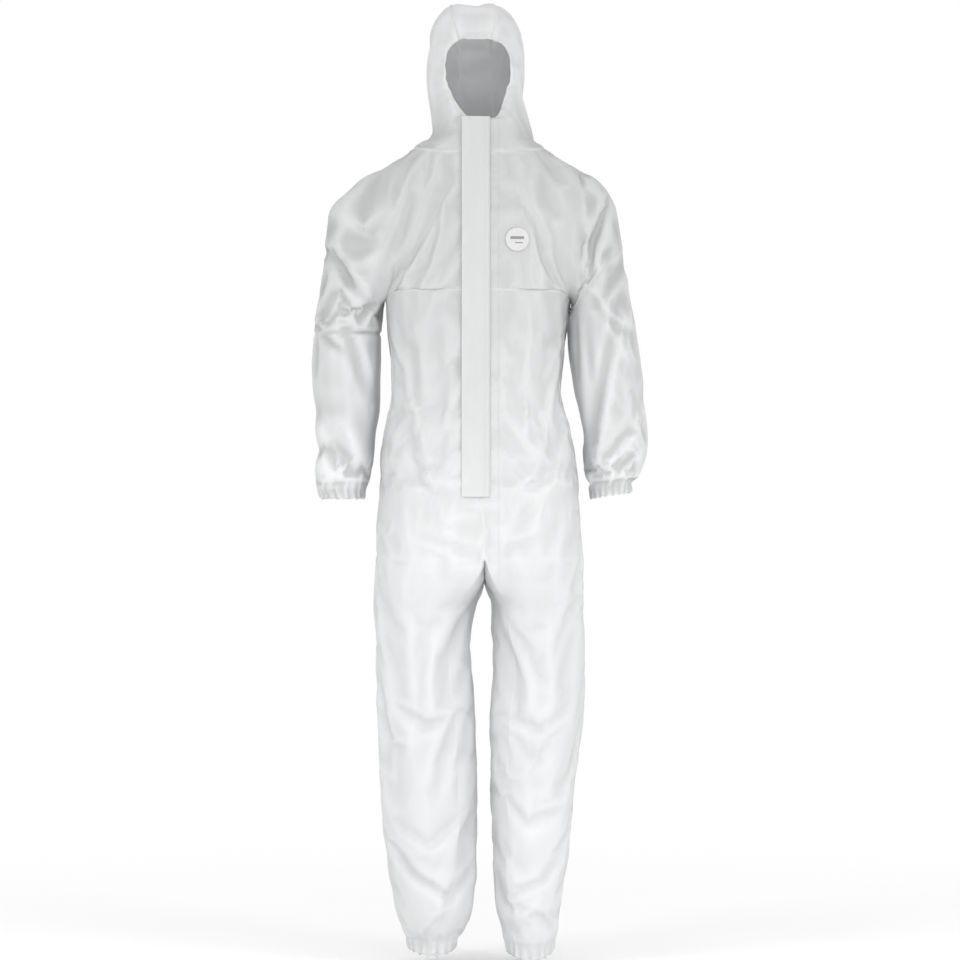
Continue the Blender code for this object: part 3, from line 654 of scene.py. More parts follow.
def face_top_z(side, x):
    share = np.clip(np.abs(x) / (FACE_HALF_WIDTH + FACE_SHIFT * side), 0, 1)
    return FACE_Z + FACE_HALF_HEIGHT * (1 - share**FACE_ROUNDNESS) ** (1 / FACE_ROUNDNESS)


def crown_half_width(side, z):
    """The centre panel widens from the brow to the crown."""
    return np.interp(z, (face_top_z(side, BROW_HALF_WIDTH), 1.755), (BROW_HALF_WIDTH, CROWN_HALF_WIDTH))


def panel_half_width(z, back):
    if not back:
        return np.full_like(z, CROWN_HALF_WIDTH)
    return np.interp(z, (NECK_Z, 1.70, HOOD_TOP_Z), (NAPE_HALF_WIDTH, NAPE_HALF_WIDTH, CROWN_HALF_WIDTH))


def hood_heights(side):
    corner = float(face_top_z(side, BROW_HALF_WIDTH))
    low = mix(NECK_Z, FACE_LOW_Z, spread(8, 0.055, seam_start=True))
    turn = np.linspace(0, 1, 25)[1:]
    face = mix(FACE_LOW_Z, corner, (1 - np.cos(turn * math.pi * 0.72)) / (1 - math.cos(math.pi * 0.72)))
    crown = mix(corner, HOOD_TOP_Z, np.linspace(0, 1, 15)[1:])
    return np.concatenate([low, face, crown]), corner


def fold_weight(points):
    """A weight from 0 at the neck and throat to 1 on the part of the hood that folds back; it is kept with the
    points, but the hood is not folded.
    """
    height = (points[..., 2] - NECK_Z) / 0.11
    behind = (points[..., 1] + 0.09) / 0.16
    return ease(height * 0.75 + 0.25 * behind - 0.12) * ease((points[..., 2] - NECK_Z) / 0.03)


def face_gathers(points, side):
    """Small pleats drawn in by the elastic round the face opening."""
    x = points[..., 0] - curve(HOOD, 1, points[..., 2]) - FACE_SHIFT
    z = points[..., 2] - FACE_Z
    turn = np.arctan2(x / FACE_HALF_WIDTH, z / FACE_HALF_HEIGHT)
    reach = np.hypot(x / FACE_HALF_WIDTH, z / FACE_HALF_HEIGHT)
    front = ease((-0.02 - points[..., 1]) / 0.04)
    near = np.exp(-np.clip(reach - 0.95, 0, 9) / 0.30) * front
    wave = 0.0017 * np.sin(turn * 25 + 2 * np.sin(turn * 3)) + 0.0010 * np.sin(turn * 41 + 1)
    roll = -0.0030 * np.exp(-np.clip(reach - 0.98, 0, 9) / 0.05) * front
    channel = -0.0013 * bump(reach, 1.16, 0.025) * front
    return near * wave + roll + channel


def build_hood():
    for name, side in SIDES:
        heights, corner = hood_heights(side)
        columns = spread(HOOD_STEPS, 0.20, seam_start=True, seam_end=True)
        share, z = np.meshgrid(columns, heights)
        below = z <= FACE_LOW_Z + 1e-6
        beside = z < corner - 1e-6
        inner = np.where(beside, np.maximum(face_half_width(side, z), 0.0001), crown_half_width(side, z))
        first = hood_angle(inner, z)
        last = math.pi - hood_angle(panel_half_width(z, True), z)
        angle = mix(np.where(below, 0.0, first), last, share)
        z = z - neck_dip(angle) * ease((FACE_LOW_Z - z) / (FACE_LOW_Z - NECK_Z))
        points = low_hood(side, angle, z)
        middle = curve(HOOD, 1, z)
        for k, x in enumerate((0.0, 0.003, 0.007, 0.0125)):
            edge = np.where(below[:, k], ZIP_EDGE, np.maximum(inner[:, k], ZIP_EDGE))
            flat = edge < FLAT_HALF
            wanted = middle[:, k] * (~below[:, k]) + side * (edge + x * (1 - edge / FLAT_HALF))
            points[:, k, 0] = np.where(flat, wanted, points[:, k, 0])
        push = face_gathers(points, side)
        panel = add_grid(f"hood_side_{name}", points, fold_weight(points), push, seams="brl")
        panel["face_rows"] = slice(int(below[:, 0].sum()) - 1, int(beside[:, 0].sum()) + 1)
    build_center_panel()


def build_center_panel():
    """From the forehead over the crown and down the back to the neck seam."""
    heights = {side: hood_heights(side)[0] for _, side in SIDES}
    corner = {side: hood_heights(side)[1] for _, side in SIDES}
    columns = spread(6, CROWN_HALF_WIDTH, seam_end=True)
    halves = {}
    for _, side in SIDES:
        z_front = np.concatenate([[corner[side]], heights[side][heights[side] > corner[side] + 1e-6]])
        share, z = np.meshgrid(columns, z_front)
        x_local = share * crown_half_width(side, z)
        lift = face_top_z(side, share * BROW_HALF_WIDTH) - corner[side]
        top = z_front[-1]
        z = z + lift * (1 - ease((z - corner[side]) / (0.6 * (top - corner[side]))))
        front = hood(side, hood_angle(x_local, z), z)
        front[..., 0] = x_local * side + curve(HOOD, 1, z)

        share, z = np.meshgrid(columns, heights[side][::-1])
        x_local = share * panel_half_width(z, True)
        back = low_hood(side, math.pi - hood_angle(x_local, z), z)
        back[..., 0] = mix(x_local * side, x_local * side + curve(HOOD, 1, z), ease((z - NECK_Z) / 0.02))

        crown = []
        for t in spread(HOOD_STEPS, 0.20, seam_start=True, seam_end=True)[1:-1]:
            row = mix(front[-1], back[0], t)
            turn = mix(hood_angle(CROWN_HALF_WIDTH, top), math.pi - hood_angle(CROWN_HALF_WIDTH, top), t)
            edge = hood(side, turn, top)
            row += (edge - row[-1]) * (columns**2)[:, None]
            row[:, 2] += CROWN_ARCH * math.sin(math.pi * t) ** 0.8 * (1 - columns**2)
            crown.append(row)
        halves[side] = np.concatenate([front, np.array(crown), back])
    rows = min(len(halves[-1]), len(halves[1]))
    points = np.concatenate([halves[-1][:rows, ::-1], halves[1][:rows, 1:]], axis=1)
    add_grid("hood_center", points, fold_weight(points), face_gathers(points, 1), seams="lrt")


# Pieces: name, the bodies on both sides of the joint, the CAD nodes each stands for

for s, _ in SIDES:
    piece(f"upper_front_{s}", ("torso", f"upper_arm_{s}"), [f"yoke_front_{s}", f"sleeve_cap_front_{s}"])
    yoke = ["yoke_back"] if s == "right" else []
    piece(f"upper_back_{s}", ("torso", f"upper_arm_{s}"), [f"sleeve_cap_back_{s}"] + yoke)
    sleeve_nodes = [f"sleeve_mid_{s}", f"sleeve_lower_{s}", f"cuff_elastic_{s}"]
    piece(f"sleeve_{s}", (f"upper_arm_{s}", f"forearm_{s}"), sleeve_nodes)
    for part in ("front", "back"):
        piece(f"lower_{part}_{s}", ("torso", f"thigh_{s}"), [f"body_{part}_{s}", f"thigh_{part}_{s}"])
        leg_nodes = [f"shin_{part}_{s}"] + ([f"ankle_elastic_{s}"] if part == "back" else [])
        piece(f"leg_{part}_{s}", (f"thigh_{s}", f"shin_{s}"), leg_nodes)
    piece(f"hood_side_{s}", ("torso", "hood"), [f"hood_side_{s}", f"throat_{s}"])
piece("hood_center", ("torso", "hood"), ["hood_center_panel"])

build_lower_body()
build_upper_body()
build_arms()
build_legs()
build_hood()


# Welding the grids into one sheet


def weld():
    """One list of points for all grids: each grid gets 'index', its points' places in the list."""
    everything = np.concatenate([g["points"].reshape(-1, 3) for g in grids])
    keys = np.round(everything / WELD_DISTANCE).astype(np.int64)
    _, first, inverse = np.unique(keys, axis=0, return_index=True, return_inverse=True)
    inverse = inverse.ravel()
    welded = everything[first]
    count = np.bincount(inverse, minlength=len(welded))
    push = np.concatenate([g["push"].ravel() for g in grids])
    push = np.bincount(inverse, weights=push, minlength=len(welded)) / count
    seam = np.zeros(len(welded))
    np.maximum.at(seam, inverse, np.concatenate([g["seam"].ravel() for g in grids]))
    offset = 0
    for g in grids:
        rows, columns = g["points"].shape[:2]
        g["index"] = inverse[offset : offset + rows * columns].reshape(rows, columns)
        offset += rows * columns
    return welded, push, seam


def grid_quads(index, closed):
    if closed:
        index = np.concatenate([index, index[:, :1]], axis=1)
    quads = np.stack([index[:-1, :-1], index[:-1, 1:], index[1:, 1:], index[1:, :-1]], axis=-1)
    quads = quads.reshape(-1, 4)
    opposite = (quads[:, 0] == quads[:, 2]) | (quads[:, 1] == quads[:, 3])
    same = (quads == np.roll(quads, 1, axis=1)).sum(axis=1)
    return quads[~opposite & (same < 2)]


def edges_of(quads):
    return np.concatenate([quads[:, [k, (k + 1) % 4]] for k in range(4)])


def face_vectors(points, quads):
    return np.cross(points[quads[:, 2]] - points[quads[:, 0]], points[quads[:, 3]] - points[quads[:, 1]])


def vertex_normals(points, quads):
    normals = np.zeros_like(points)
    vectors = face_vectors(points, quads)
    for k in range(4):
        np.add.at(normals, quads[:, k], vectors)
    return normals / np.maximum(np.linalg.norm(normals, axis=1)[:, None], 1e-12)


def face_outwards(points):
    """Turn every grid's faces to the outside of the suit."""
    for g in grids:
        own = g["quads"]
        centres = points[own].mean(axis=1)
        if "front" in g["piece"]:
            outward = np.array([0, -1, 0])
        elif "back" in g["piece"]:
            outward = np.array([0, 1, 0])
        else:
            outward = centres - centres.mean(axis=0) * (1, 1, 0) - (0, 0, 1.6)
            if g["piece"].startswith("sleeve"):
                outward[:, 2] = 0
        inside_out = (face_vectors(points, own) * outward).sum() < 0
        if g["follows"] is not None:
            inside_out = g["follows"]["inside_out"]
        g["inside_out"] = inside_out
        if inside_out:
            g["quads"] = own[:, ::-1]


points, push, seam = weld()
for g in grids:
    g["quads"] = grid_quads(g["index"], g["closed"])
face_outwards(points)
all_quads = np.concatenate([g["quads"] for g in grids])
normals = vertex_normals(points, all_quads)
points = points + normals * (push - SEAM_DEPTH * seam)[:, None]


# Folds


def line_distance(p, line):
    """Distance in the x-z plane from each point to a bent line, signed by the side it lies on."""
    best = np.full(len(p), 9.0)
    signed = np.zeros(len(p))
    along = np.zeros(len(p))
    lengths = np.linalg.norm(np.diff(line, axis=0), axis=1)
    for k, (a, b) in enumerate(zip(line[:-1], line[1:])):
        step = b - a
        t = np.clip(((p - a) @ step) / (step @ step), 0, 1)
        gap = p - (a + t[:, None] * step)
        distance = np.linalg.norm(gap, axis=1)
        closer = distance < best
        best = np.where(closer, distance, best)
        side = np.sign(step[0] * gap[:, 1] - step[1] * gap[:, 0])
        signed = np.where(closer, side * distance, signed)
        along = np.where(closer, (lengths[:k].sum() + t * lengths[k]) / lengths.sum(), along)
    return signed, along


def crease(p, line, width, depth):
    """A valley along a line with a soft ridge on its left side; it fades out at both ends."""
    signed, along = line_distance(p[:, [0, 2]], line)
    fade = np.sin(math.pi * np.clip(along * 0.92 + 0.04, 0, 1)) ** 0.7
    ridge = np.exp(-np.abs(signed - 1.3 * width) / (0.75 * width))
    return depth * fade * (0.9 * ridge - bump(signed, 0, width))


# Folds on the front and on the back, millimetres: three points, each x and z, then width and depth
FRONT_FOLDS = [
    (-280, 1316, -252, 1272, -214, 1222, 11, 9),
    (-262, 1300, -252, 1240, -236, 1190, 18, 5),
    (-256, 1200, -238, 1140, -206, 1040, 13, 8),
    (-308, 1180, -285, 1152, -255, 1128, 8, 6.5),
    (-200, 1225, -224, 1180, -262, 1155, 8, 4),
    (-270, 975, -246, 930, -226, 885, 20, 7),
    (-285, 960, -268, 905, -262, 872, 9, 3.5),
    (200, 1262, 210, 1330, 236, 1405, 10, 8),
    (176, 1420, 184, 1340, 182, 1262, 10, 6),
    (292, 1330, 252, 1262, 214, 1215, 11, 5),
    (204, 1235, 234, 1190, 284, 1160, 9, 4.5),
    (254, 1190, 226, 1070, 200, 915, 12, 9),
    (304, 1060, 276, 985, 232, 930, 12, 5),
    (282, 950, 262, 905, 252, 872, 9, 3.5),
    (-176, 1262, -128, 1312, -86, 1392, 13, 3.4),
    (-180, 1302, -150, 1352, -132, 1432, 12, 3),
    (168, 1262, 150, 1312, 146, 1372, 12, 2.6),
    (-150, 1215, -128, 1130, -120, 1040, 14, 3.4),
    (150, 1215, 126, 1130, 114, 1030, 14, 3.4),
    (-86, 1200, -74, 1080, -78, 930, 16, 3),
    (72, 1210, 64, 1060, 72, 905, 16, 3),
    (-140, 1010, -112, 900, -80, 800, 15, 3.6),
    (142, 990, 116, 890, 70, 800, 15, 3.6),
    (-14, 742, -52, 772, -116, 790, 11, 3.6),
    (14, 742, 56, 770, 120, 786, 11, 3.6),
    (-100, 700, -112, 520, -104, 330, 18, 4.4),
    (-142, 660, -148, 500, -136, 420, 14, 3.4),
    (-66, 600, -62, 460, -70, 340, 14, 3.4),
    (104, 700, 112, 520, 104, 330, 18, 4.4),
    (146, 640, 152, 500, 134, 400, 14, 3.4),
    (66, 600, 64, 460, 74, 340, 14, 3.4),
    (-154, 212, -120, 162, -62, 122, 11, 4.4),
    (-50, 262, -90, 222, -140, 252, 12, 3),
    (142, 202, 112, 152, 66, 128, 11, 4),
    (50, 300, 86, 262, 136, 282, 12, 3),
    (-140, 470, -104, 442, -56, 452, 12, 3.4),
    (142, 462, 108, 436, 62, 448, 12, 3.4),
]
BACK_FOLDS = [
    (-110, 1440, -90, 1330, -102, 1220, 16, 4),
    (104, 1440, 90, 1320, 100, 1200, 16, 4),
    (-170, 1300, -120, 1250, -70, 1235, 12, 3.4),
    (170, 1300, 120, 1252, 70, 1230, 12, 3.4),
    (-100, 1020, -90, 930, -104, 830, 16, 4.4),
    (94, 1020, 84, 930, 100, 830, 16, 4.4),
    (-20, 760, -70, 772, -130, 748, 12, 4.4),
    (20, 760, 72, 772, 130, 744, 12, 4.4),
    (-100, 690, -110, 560, -100, 480, 18, 4.4),
    (100, 690, 112, 560, 102, 480, 18, 4.4),
    (-150, 470, -110, 440, -60, 455, 12, 5),
    (150, 466, 110, 436, 62, 450, 12, 5),
    (-140, 410, -100, 396, -66, 412, 11, 4),
    (140, 406, 104, 392, 70, 408, 11, 4),
    (-100, 380, -92, 240, -90, 130, 16, 4),
    (104, 380, 96, 240, 92, 130, 16, 4),
    (-290, 1330, -262, 1230, -230, 1150, 13, 5),
    (290, 1330, 262, 1230, 230, 1150, 13, 5),
    (-292, 1090, -252, 1070, -212, 1085, 10, 4),
    (292, 1090, 252, 1066, 212, 1080, 10, 4),
    (-270, 1040, -256, 960, -262, 900, 13, 4),
    (270, 1040, 256, 960, 258, 900, 13, 4),
]


WAVES = 14  # waves added up for one random height


def wander(p, size, seed):
    """A smooth random height, even in all directions, with features about this size."""
    rng = np.random.default_rng(seed)
    total = np.zeros(len(p))
    for _ in range(WAVES):
        direction = rng.normal(size=3)
        direction /= np.linalg.norm(direction)
        wave = 2 * math.pi / (size * rng.uniform(0.7, 1.5))
        total += np.sin(p @ direction * wave + rng.uniform(0, 2 * math.pi))
    return total / WAVES**0.5


def on_arm(p):
    """1 on the arms, 0 on the body and the legs."""
    return ease((np.abs(p[:, 0]) - 0.175) / 0.03) * (p[:, 2] > CUFF_Z - 0.02)


def under_label(p, out):
    """1 under the chest label, which keeps the cloth flat."""
    distance = np.hypot(p[:, 0] - LABEL_X, p[:, 2] - LABEL_Z)
    return ease((LABEL_RADIUS + 0.022 - distance) / 0.022) * (out[:, 1] < 0)


def fold_field(p, out):
    """Height of the loose folds at each point."""
    front = ease((0.25 - out[:, 1]) / 0.5)
    height = np.zeros(len(p))
    for folds, share in ((FRONT_FOLDS, front), (BACK_FOLDS, 1 - front)):
        for fold in folds:
            *line, width, depth = np.array(fold) / 1000
            height += share * crease(p, np.reshape(line, (3, 2)), width, depth)
    slack = p * np.array([1.0, 1.0, 0.45])
    soft = 0.0016 * wander(slack, 0.085, 3) + 0.0008 * wander(slack, 0.040, 5)
    sharp = 0.0030 * np.exp(-np.abs(wander(slack, 0.11, 7)) / 0.22) * ease(wander(p, 0.25, 11) + 0.2)
    limbs = np.maximum(on_arm(p), ease((LEG_TOP_Z - p[:, 2]) / 0.10))
    height += soft + sharp * mix(0.35, 1.0, limbs)
    closure = ease((np.abs(p[:, 0]) - 0.012) / 0.035)
    beside_zip = (out[:, 1] < 0) & (p[:, 2] > ZIP_LOW_Z - 0.02)
    held = np.where(beside_zip, closure, 1.0) * (1 - under_label(p, out))
    for z in (CUFF_Z, 0.0):
        held *= ease((np.abs(p[:, 2] - z) - 0.004) / 0.03) * 0.9 + 0.1
    return height * held


def relax(p, quads, loose, steps):
    """Even out the sheet where loose is 1, each point moving towards its neighbours' middle."""
    pairs = edges_of(quads)
    pairs = np.unique(np.sort(pairs[pairs[:, 0] != pairs[:, 1]], axis=1), axis=0)
    count = np.bincount(pairs.ravel(), minlength=len(p))[:, None]
    for _ in range(steps):
        total = np.zeros_like(p)
        np.add.at(total, pairs[:, 0], p[pairs[:, 1]])
        np.add.at(total, pairs[:, 1], p[pairs[:, 0]])
        p = p + 0.5 * loose[:, None] * (total / np.maximum(count, 1) - p)
    return p


def near_armhole(p):
    """1 round the armholes, where the body's and the arm's surfaces meet at an angle."""
    loose = np.zeros(len(p))
    for g in grids:
        if g.get("armhole"):
            ring = points[g["index"][0]]
            for start in range(0, len(ring), 4):
                distance = np.linalg.norm(p - ring[start], axis=1)
                loose = np.maximum(loose, ease((0.035 - distance) / 0.030))
    below = ease((p[:, 2] - ARMPIT_Z - 0.012) / 0.03)
    return loose * below


points = relax(points, all_quads, near_armhole(points) * (1 - seam), 24)
normals = vertex_normals(points, all_quads)
points = points + normals * (fold_field(points, normals) * (1 - 0.85 * seam))[:, None]


# Settling the cloth


def place(name, data):
    """Put a mesh, a light or a camera in the scene."""
    obj = bpy.data.objects.new(name, data)
    bpy.context.scene.collection.objects.link(obj)
    return obj


CLOTH = {
    "quality": 5,
    "mass": 0.10,
    "tension_stiffness": 30,
    "compression_stiffness": 30,
    "shear_stiffness": 12,
    "bending_stiffness": 0.6,
    "tension_damping": 12,
    "compression_damping": 12,
    "vertex_group_mass": "held",
    "pin_stiffness": 1.0,
    "shrink_min": -SLACK,
}


def settle(p, quads, held):
    """Let the sheet crumple slightly as cloth, held at its seams and hems."""
    mesh = bpy.data.meshes.new("settling")
    mesh.from_pydata(p.tolist(), [], [list(dict.fromkeys(q)) for q in quads.tolist()])
    obj = place("settling", mesh)
    group = obj.vertex_groups.new(name="held")
    for level in range(1, 11):
        chosen = np.nonzero(np.round(held * 10).astype(int) == level)[0]
        group.add(chosen.tolist(), level / 10, "REPLACE")
    cloth = obj.modifiers.new("cloth", "CLOTH")
    for key, value in CLOTH.items():
        setattr(cloth.settings, key, value)
    cloth.settings.effector_weights.gravity = 0.35
    cloth.collision_settings.use_collision = False
    cloth.collision_settings.use_self_collision = False
    scene = bpy.context.scene
    scene.frame_start = 1
    scene.frame_end = SETTLE_FRAMES
    for number in range(1, SETTLE_FRAMES + 1):
        scene.frame_set(number)
    settled = obj.evaluated_get(bpy.context.evaluated_depsgraph_get()).data
    moved = np.zeros(len(p) * 3)
    settled.vertices.foreach_get("co", moved)
    bpy.data.objects.remove(obj)
    bpy.data.meshes.remove(mesh)
    scene.frame_set(1)
    step = moved.reshape(-1, 3) - p
    length = np.linalg.norm(step, axis=1)
    step *= (np.minimum(length, SETTLE_LIMIT) / np.maximum(length, 1e-9))[:, None]
    return p + step


def how_held():
    """1 is fixed; loose cloth keeps a little hold, so that the suit stays in shape."""
    held = np.maximum(seam, 0.0)
    for g in grids:
        if g["follows"] is not None:
            held[g["index"].ravel()] = 1.0
    held = np.maximum(held, bump(points[:, 2], CUFF_Z, 0.012))
    held = np.maximum(held, bump(points[:, 2], 0.0, 0.018))
    beside_zip = (normals[:, 1] < -0.5) & (points[:, 2] > ZIP_LOW_Z - 0.02) & (points[:, 2] < FACE_LOW_Z)
    held = np.where(beside_zip, np.maximum(held, bump(points[:, 0], 0, 0.026)), held)
    held = np.maximum(held, under_label(points, normals))
    return np.clip(held, LOOSE_HOLD, 1.0)


points = settle(points, all_quads, how_held())
middle = bump(points[:, 0], 0, 0.05) * ease((points[:, 2] - 0.60) / 0.08) * ease((0.86 - points[:, 2]) / 0.06)
points[:, 0] += CROTCH_SHIFT * middle
normals = vertex_normals(points, all_quads)


def paint_fold_shade():
    """Painted shade and highlight: -1 in the folds' valleys, painted darker, and 1 on their crests, painted
    lighter; stronger on the arms, which are also made a little darker overall.
    """
    everywhere = np.ones(len(points))
    height = ((points - relax(points, all_quads, everywhere, 24)) * normals).sum(axis=1)[:, None]
    height = (height - relax(height, all_quads, everywhere, 60))[:, 0]
    arm = on_arm(points)
    return np.clip(height / 0.0018, -1, 1) * mix(0.22, 0.75, arm) - 0.15 * arm


# Painted shade in the folds' valleys and painted highlight on their crests, one value per point
painted_fold_shade = paint_fold_shade()
sewn = seam * (1 - 0.9 * on_arm(points))


# Cutting the pieces out as thin closed shells


def make_mesh(name, vertices, faces, mat, smooth_normals):
    mesh = bpy.data.meshes.new(name)
    mesh.from_pydata(vertices.tolist(), [], [list(dict.fromkeys(f)) for f in faces.tolist()])
    mesh.materials.append(mat)
    mesh.polygons.foreach_set("use_smooth", [True] * len(mesh.polygons))
    corners = np.zeros(len(mesh.loops), np.int32)
    mesh.loops.foreach_get("vertex_index", corners)
    mesh.normals_split_custom_set(smooth_normals[corners].tolist())
    return place(name, mesh)


def mark(obj, name, values):
    """Give the material a value at each point: "sewn" for the whiter seams, and one for the painted shade in the
    folds' valleys and painted highlight on their crests.
    """
    attribute = obj.data.attributes.new(name, "FLOAT", "POINT")
    attribute.data.foreach_set("value", values.astype(np.float32))


def bend(obj):
    """Bake the piece's transform into its mesh; the piece is not bent between its two bodies and the points'
    weights are not used.
    """
    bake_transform(obj)


def thin_sheet(name, flat, quads, out, mat, thickness):
    """A thin closed piece: an outer face, an inner face and the edge between them."""
    count = len(flat)
    forward = set(map(tuple, edges_of(quads).tolist()))
    rim = np.array([(b, a) for a, b in sorted(forward) if (b, a) not in forward])
    rim_faces = np.stack([rim[:, 0], rim[:, 1], rim[:, 1] + count, rim[:, 0] + count], axis=1)
    both = np.concatenate([flat + out * thickness / 2, flat - out * thickness / 2])
    faces = np.concatenate([quads, quads[:, ::-1] + count, rim_faces])
    obj = make_mesh(name, both, faces, mat, np.concatenate([out, -out]))
    return obj


def facing_front(quads, out):
    return (quads[:, ::-1], -out) if out[:, 1].mean() > 0 else (quads, out)


def sheet_of_rows(name, rows, mat, thickness, to_front=False):
    """A thin closed sheet through rows of points; with to_front its outer face is turned to the front."""
    rows = np.array(rows)
    quads = grid_quads(np.arange(rows.shape[0] * rows.shape[1]).reshape(rows.shape[:2]), False)
    flat = rows.reshape(-1, 3)
    out = vertex_normals(flat, quads)
    if to_front:
        quads, out = facing_front(quads, out)
    return thin_sheet(name, flat, quads, out, mat, thickness)


def shell(name, mat):
    """Cut one piece out of the welded sheet."""
    own = pieces[name]["grids"]
    quads = np.concatenate([g["quads"] for g in own])
    used, local = np.unique(quads, return_inverse=True)
    weight = np.zeros(len(points))
    for g in own:
        weight[g["index"].ravel()] = g["weight"].ravel()
    obj = thin_sheet(name, points[used], local.reshape(quads.shape), normals[used], mat, FABRIC)
    mark(obj, "sewn", np.tile(sewn[used], 2))
    # painted shade in the folds' valleys and painted highlight on their crests, for the material
    mark(obj, "painted_fold_shade", np.tile(painted_fold_shade[used], 2))
    bend(obj)
    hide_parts(*pieces[name]["replaces"])


# Materials


class Nodes:
    """A short way to write a material's node tree."""

    def __init__(self, name):
        self.material = bpy.data.materials.new(name)
        self.material.use_nodes = True
        self.tree = self.material.node_tree
        self.shader = self.tree.nodes["Principled BSDF"]
        self.where = self.add("ShaderNodeTexCoord").outputs["Object"]

    def add(self, kind, **inputs):
        node = self.tree.nodes.new(kind)
        for key, value in inputs.items():
            self.set(node, key.replace("_", " "), value)
        return node

    def set(self, node, key, value):
        if isinstance(value, bpy.types.NodeSocket):
            self.tree.links.new(value, node.inputs[key])
        else:
            node.inputs[key].default_value = value

    def noise(self, scale, detail=3.0, roughness=0.5, stretch=(1, 1, 1)):
        spot = self.add("ShaderNodeMapping", Vector=self.where, Scale=stretch).outputs[0]
        node = self.add("ShaderNodeTexNoise", Vector=spot, Scale=scale, Detail=detail, Roughness=roughness)
        return node.outputs["Fac"]

    def cells(self, scale):
        return self.add("ShaderNodeTexVoronoi", Vector=self.where, Scale=scale).outputs["Distance"]

    def wave(self, scale, distortion, direction="X"):
        node = self.add("ShaderNodeTexWave", Vector=self.where, Scale=scale, Distortion=distortion)
        node.bands_direction = direction
        return node.outputs["Fac"]

    def axis(self, letter):
        return self.add("ShaderNodeSeparateXYZ", Vector=self.where).outputs[letter]

    def attribute(self, name):
        node = self.add("ShaderNodeAttribute")
        node.attribute_name = name
        return node.outputs["Fac"]

    def math(self, operation, *values):
        node = self.add("ShaderNodeMath")
        node.operation = operation
        for index, value in enumerate(values):
            self.set(node, index, value)
        return node.outputs[0]

    def between(self, value, low, high):
        """0 where value is low, 1 where it is high."""
        node = self.add("ShaderNodeMapRange", Value=value, From_Min=low, From_Max=high)
        return node.outputs["Result"]

    def level(self, value, low, high):
        """low where value is 0, high where it is 1."""
        node = self.add("ShaderNodeMapRange", Value=value, To_Min=low, To_Max=high)
        return node.outputs["Result"]

    def ramp(self, value, *stops):
        """Colour by value; each stop is a position and a grey level or a colour."""
        node = self.add("ShaderNodeValToRGB", Fac=value)
        elements = node.color_ramp.elements
        for _ in stops[2:]:
            elements.new(0.5)
        for element, (position, color) in zip(elements, stops):
            element.position = position
            element.color = (*color, 1) if isinstance(color, tuple) else (color, color, color, 1)
        return node.outputs["Color"]

    def shades(self, value, dark, light):
        return self.ramp(value, (0.3, dark), (0.7, light))

    def blend(self, share, first, second, kind="MIX"):
        """Mixes two colours; each is a socket or a grey level."""
        node = self.add("ShaderNodeMix")
        node.data_type = "RGBA"
        node.blend_type = kind
        self.set(node, 0, share)
        for index, value in ((6, first), (7, second)):
            self.set(node, index, (value, value, value, 1) if isinstance(value, float) else value)
        return node.outputs[2]

    def stripe(self, x, width):
        """1 along the vertical line at x, fading over this width: stitches seen through the cloth."""
        return self.between(self.math("ABSOLUTE", self.math("SUBTRACT", self.axis("X"), x)), width, 0.0)

    def bar(self, x, z, half_width, half_height):
        """1 inside an upright rectangle, 0 outside."""
        near_x = self.math("COMPARE", self.axis("X"), x, half_width)
        return self.math("MULTIPLY", near_x, self.math("COMPARE", self.axis("Z"), z, half_height))

    def bump(self, height, distance, strength=1.0):
        """Adds one layer of relief over those already there."""
        node = self.add("ShaderNodeBump", Height=height, Distance=distance, Strength=strength)
        if self.shader.inputs["Normal"].links:
            self.set(node, "Normal", self.shader.inputs["Normal"].links[0].from_socket)
        self.set(self.shader, "Normal", node.outputs["Normal"])

    def surface(self, **inputs):
        for key, value in inputs.items():
            self.set(self.shader, key.replace("_", " "), value)
        return self.material

    def cover(self, share, other):
        """Mixes another shader over the surface."""
        both = self.add("ShaderNodeMixShader", Fac=share)
        self.set(both, 1, self.shader.outputs[0])
        self.set(both, 2, other.outputs[0])
        self.set(self.tree.nodes["Material Output"], "Surface", both.outputs[0])


def nonwoven_material(name, shade):
    """Thin white nonwoven film: satin, a little see-through, with a soft crinkle and faint emboss points.

    Single layers look greyer over the dark inside of the chest than over the pale ground behind the legs;
    this light and shade is painted into the base colour, and shade gives the painted brightness at several
    heights.
    """
    m = Nodes(name)
    m.bump(m.noise(9, 3, 0.5, stretch=(1, 1, 0.5)), 0.010, 0.45)
    m.bump(m.noise(38, 3, 0.5, stretch=(1, 1, 0.6)), 0.0016, 0.40)
    m.bump(m.cells(620), 0.00006, 0.35)
    m.bump(m.stripe(0.0345, 0.0007), 0.0005, 0.8)
    # Painted light and shade: the base colour is set by height, darker over the chest and throat, lighter on the
    # legs and hood
    height = m.axis("Z")
    stops = [(z / 2, (value * 0.99, value * 0.995, value)) for z, value in shade]
    color = m.ramp(m.between(height, 0.0, 2.0), *stops)
    cloudy = m.shades(m.noise(7, 4, 0.6, stretch=(1, 1, 0.35)), 0.93, 1.0)
    # Painted shade and highlight: the folds' valleys are darkened and their crests lightened in the base colour
    folds = m.level(m.between(m.attribute("painted_fold_shade"), -1.0, 1.0), 0.83, 1.17)
    color = m.blend(1.0, color, cloudy, "MULTIPLY")
    color = m.blend(1.0, color, folds, "MULTIPLY")
    color = m.blend(m.level(m.attribute("sewn"), 0.0, 0.45), color, 0.93)
    m.surface(Base_Color=color, Roughness=m.level(m.noise(24), 0.30, 0.44), Specular_IOR_Level=0.5)
    see_through = m.level(m.between(height, NECK_Z, FACE_Z), 0.36, 0.38)
    m.cover(see_through, m.add("ShaderNodeBsdfTranslucent", Color=color))
    return m.material


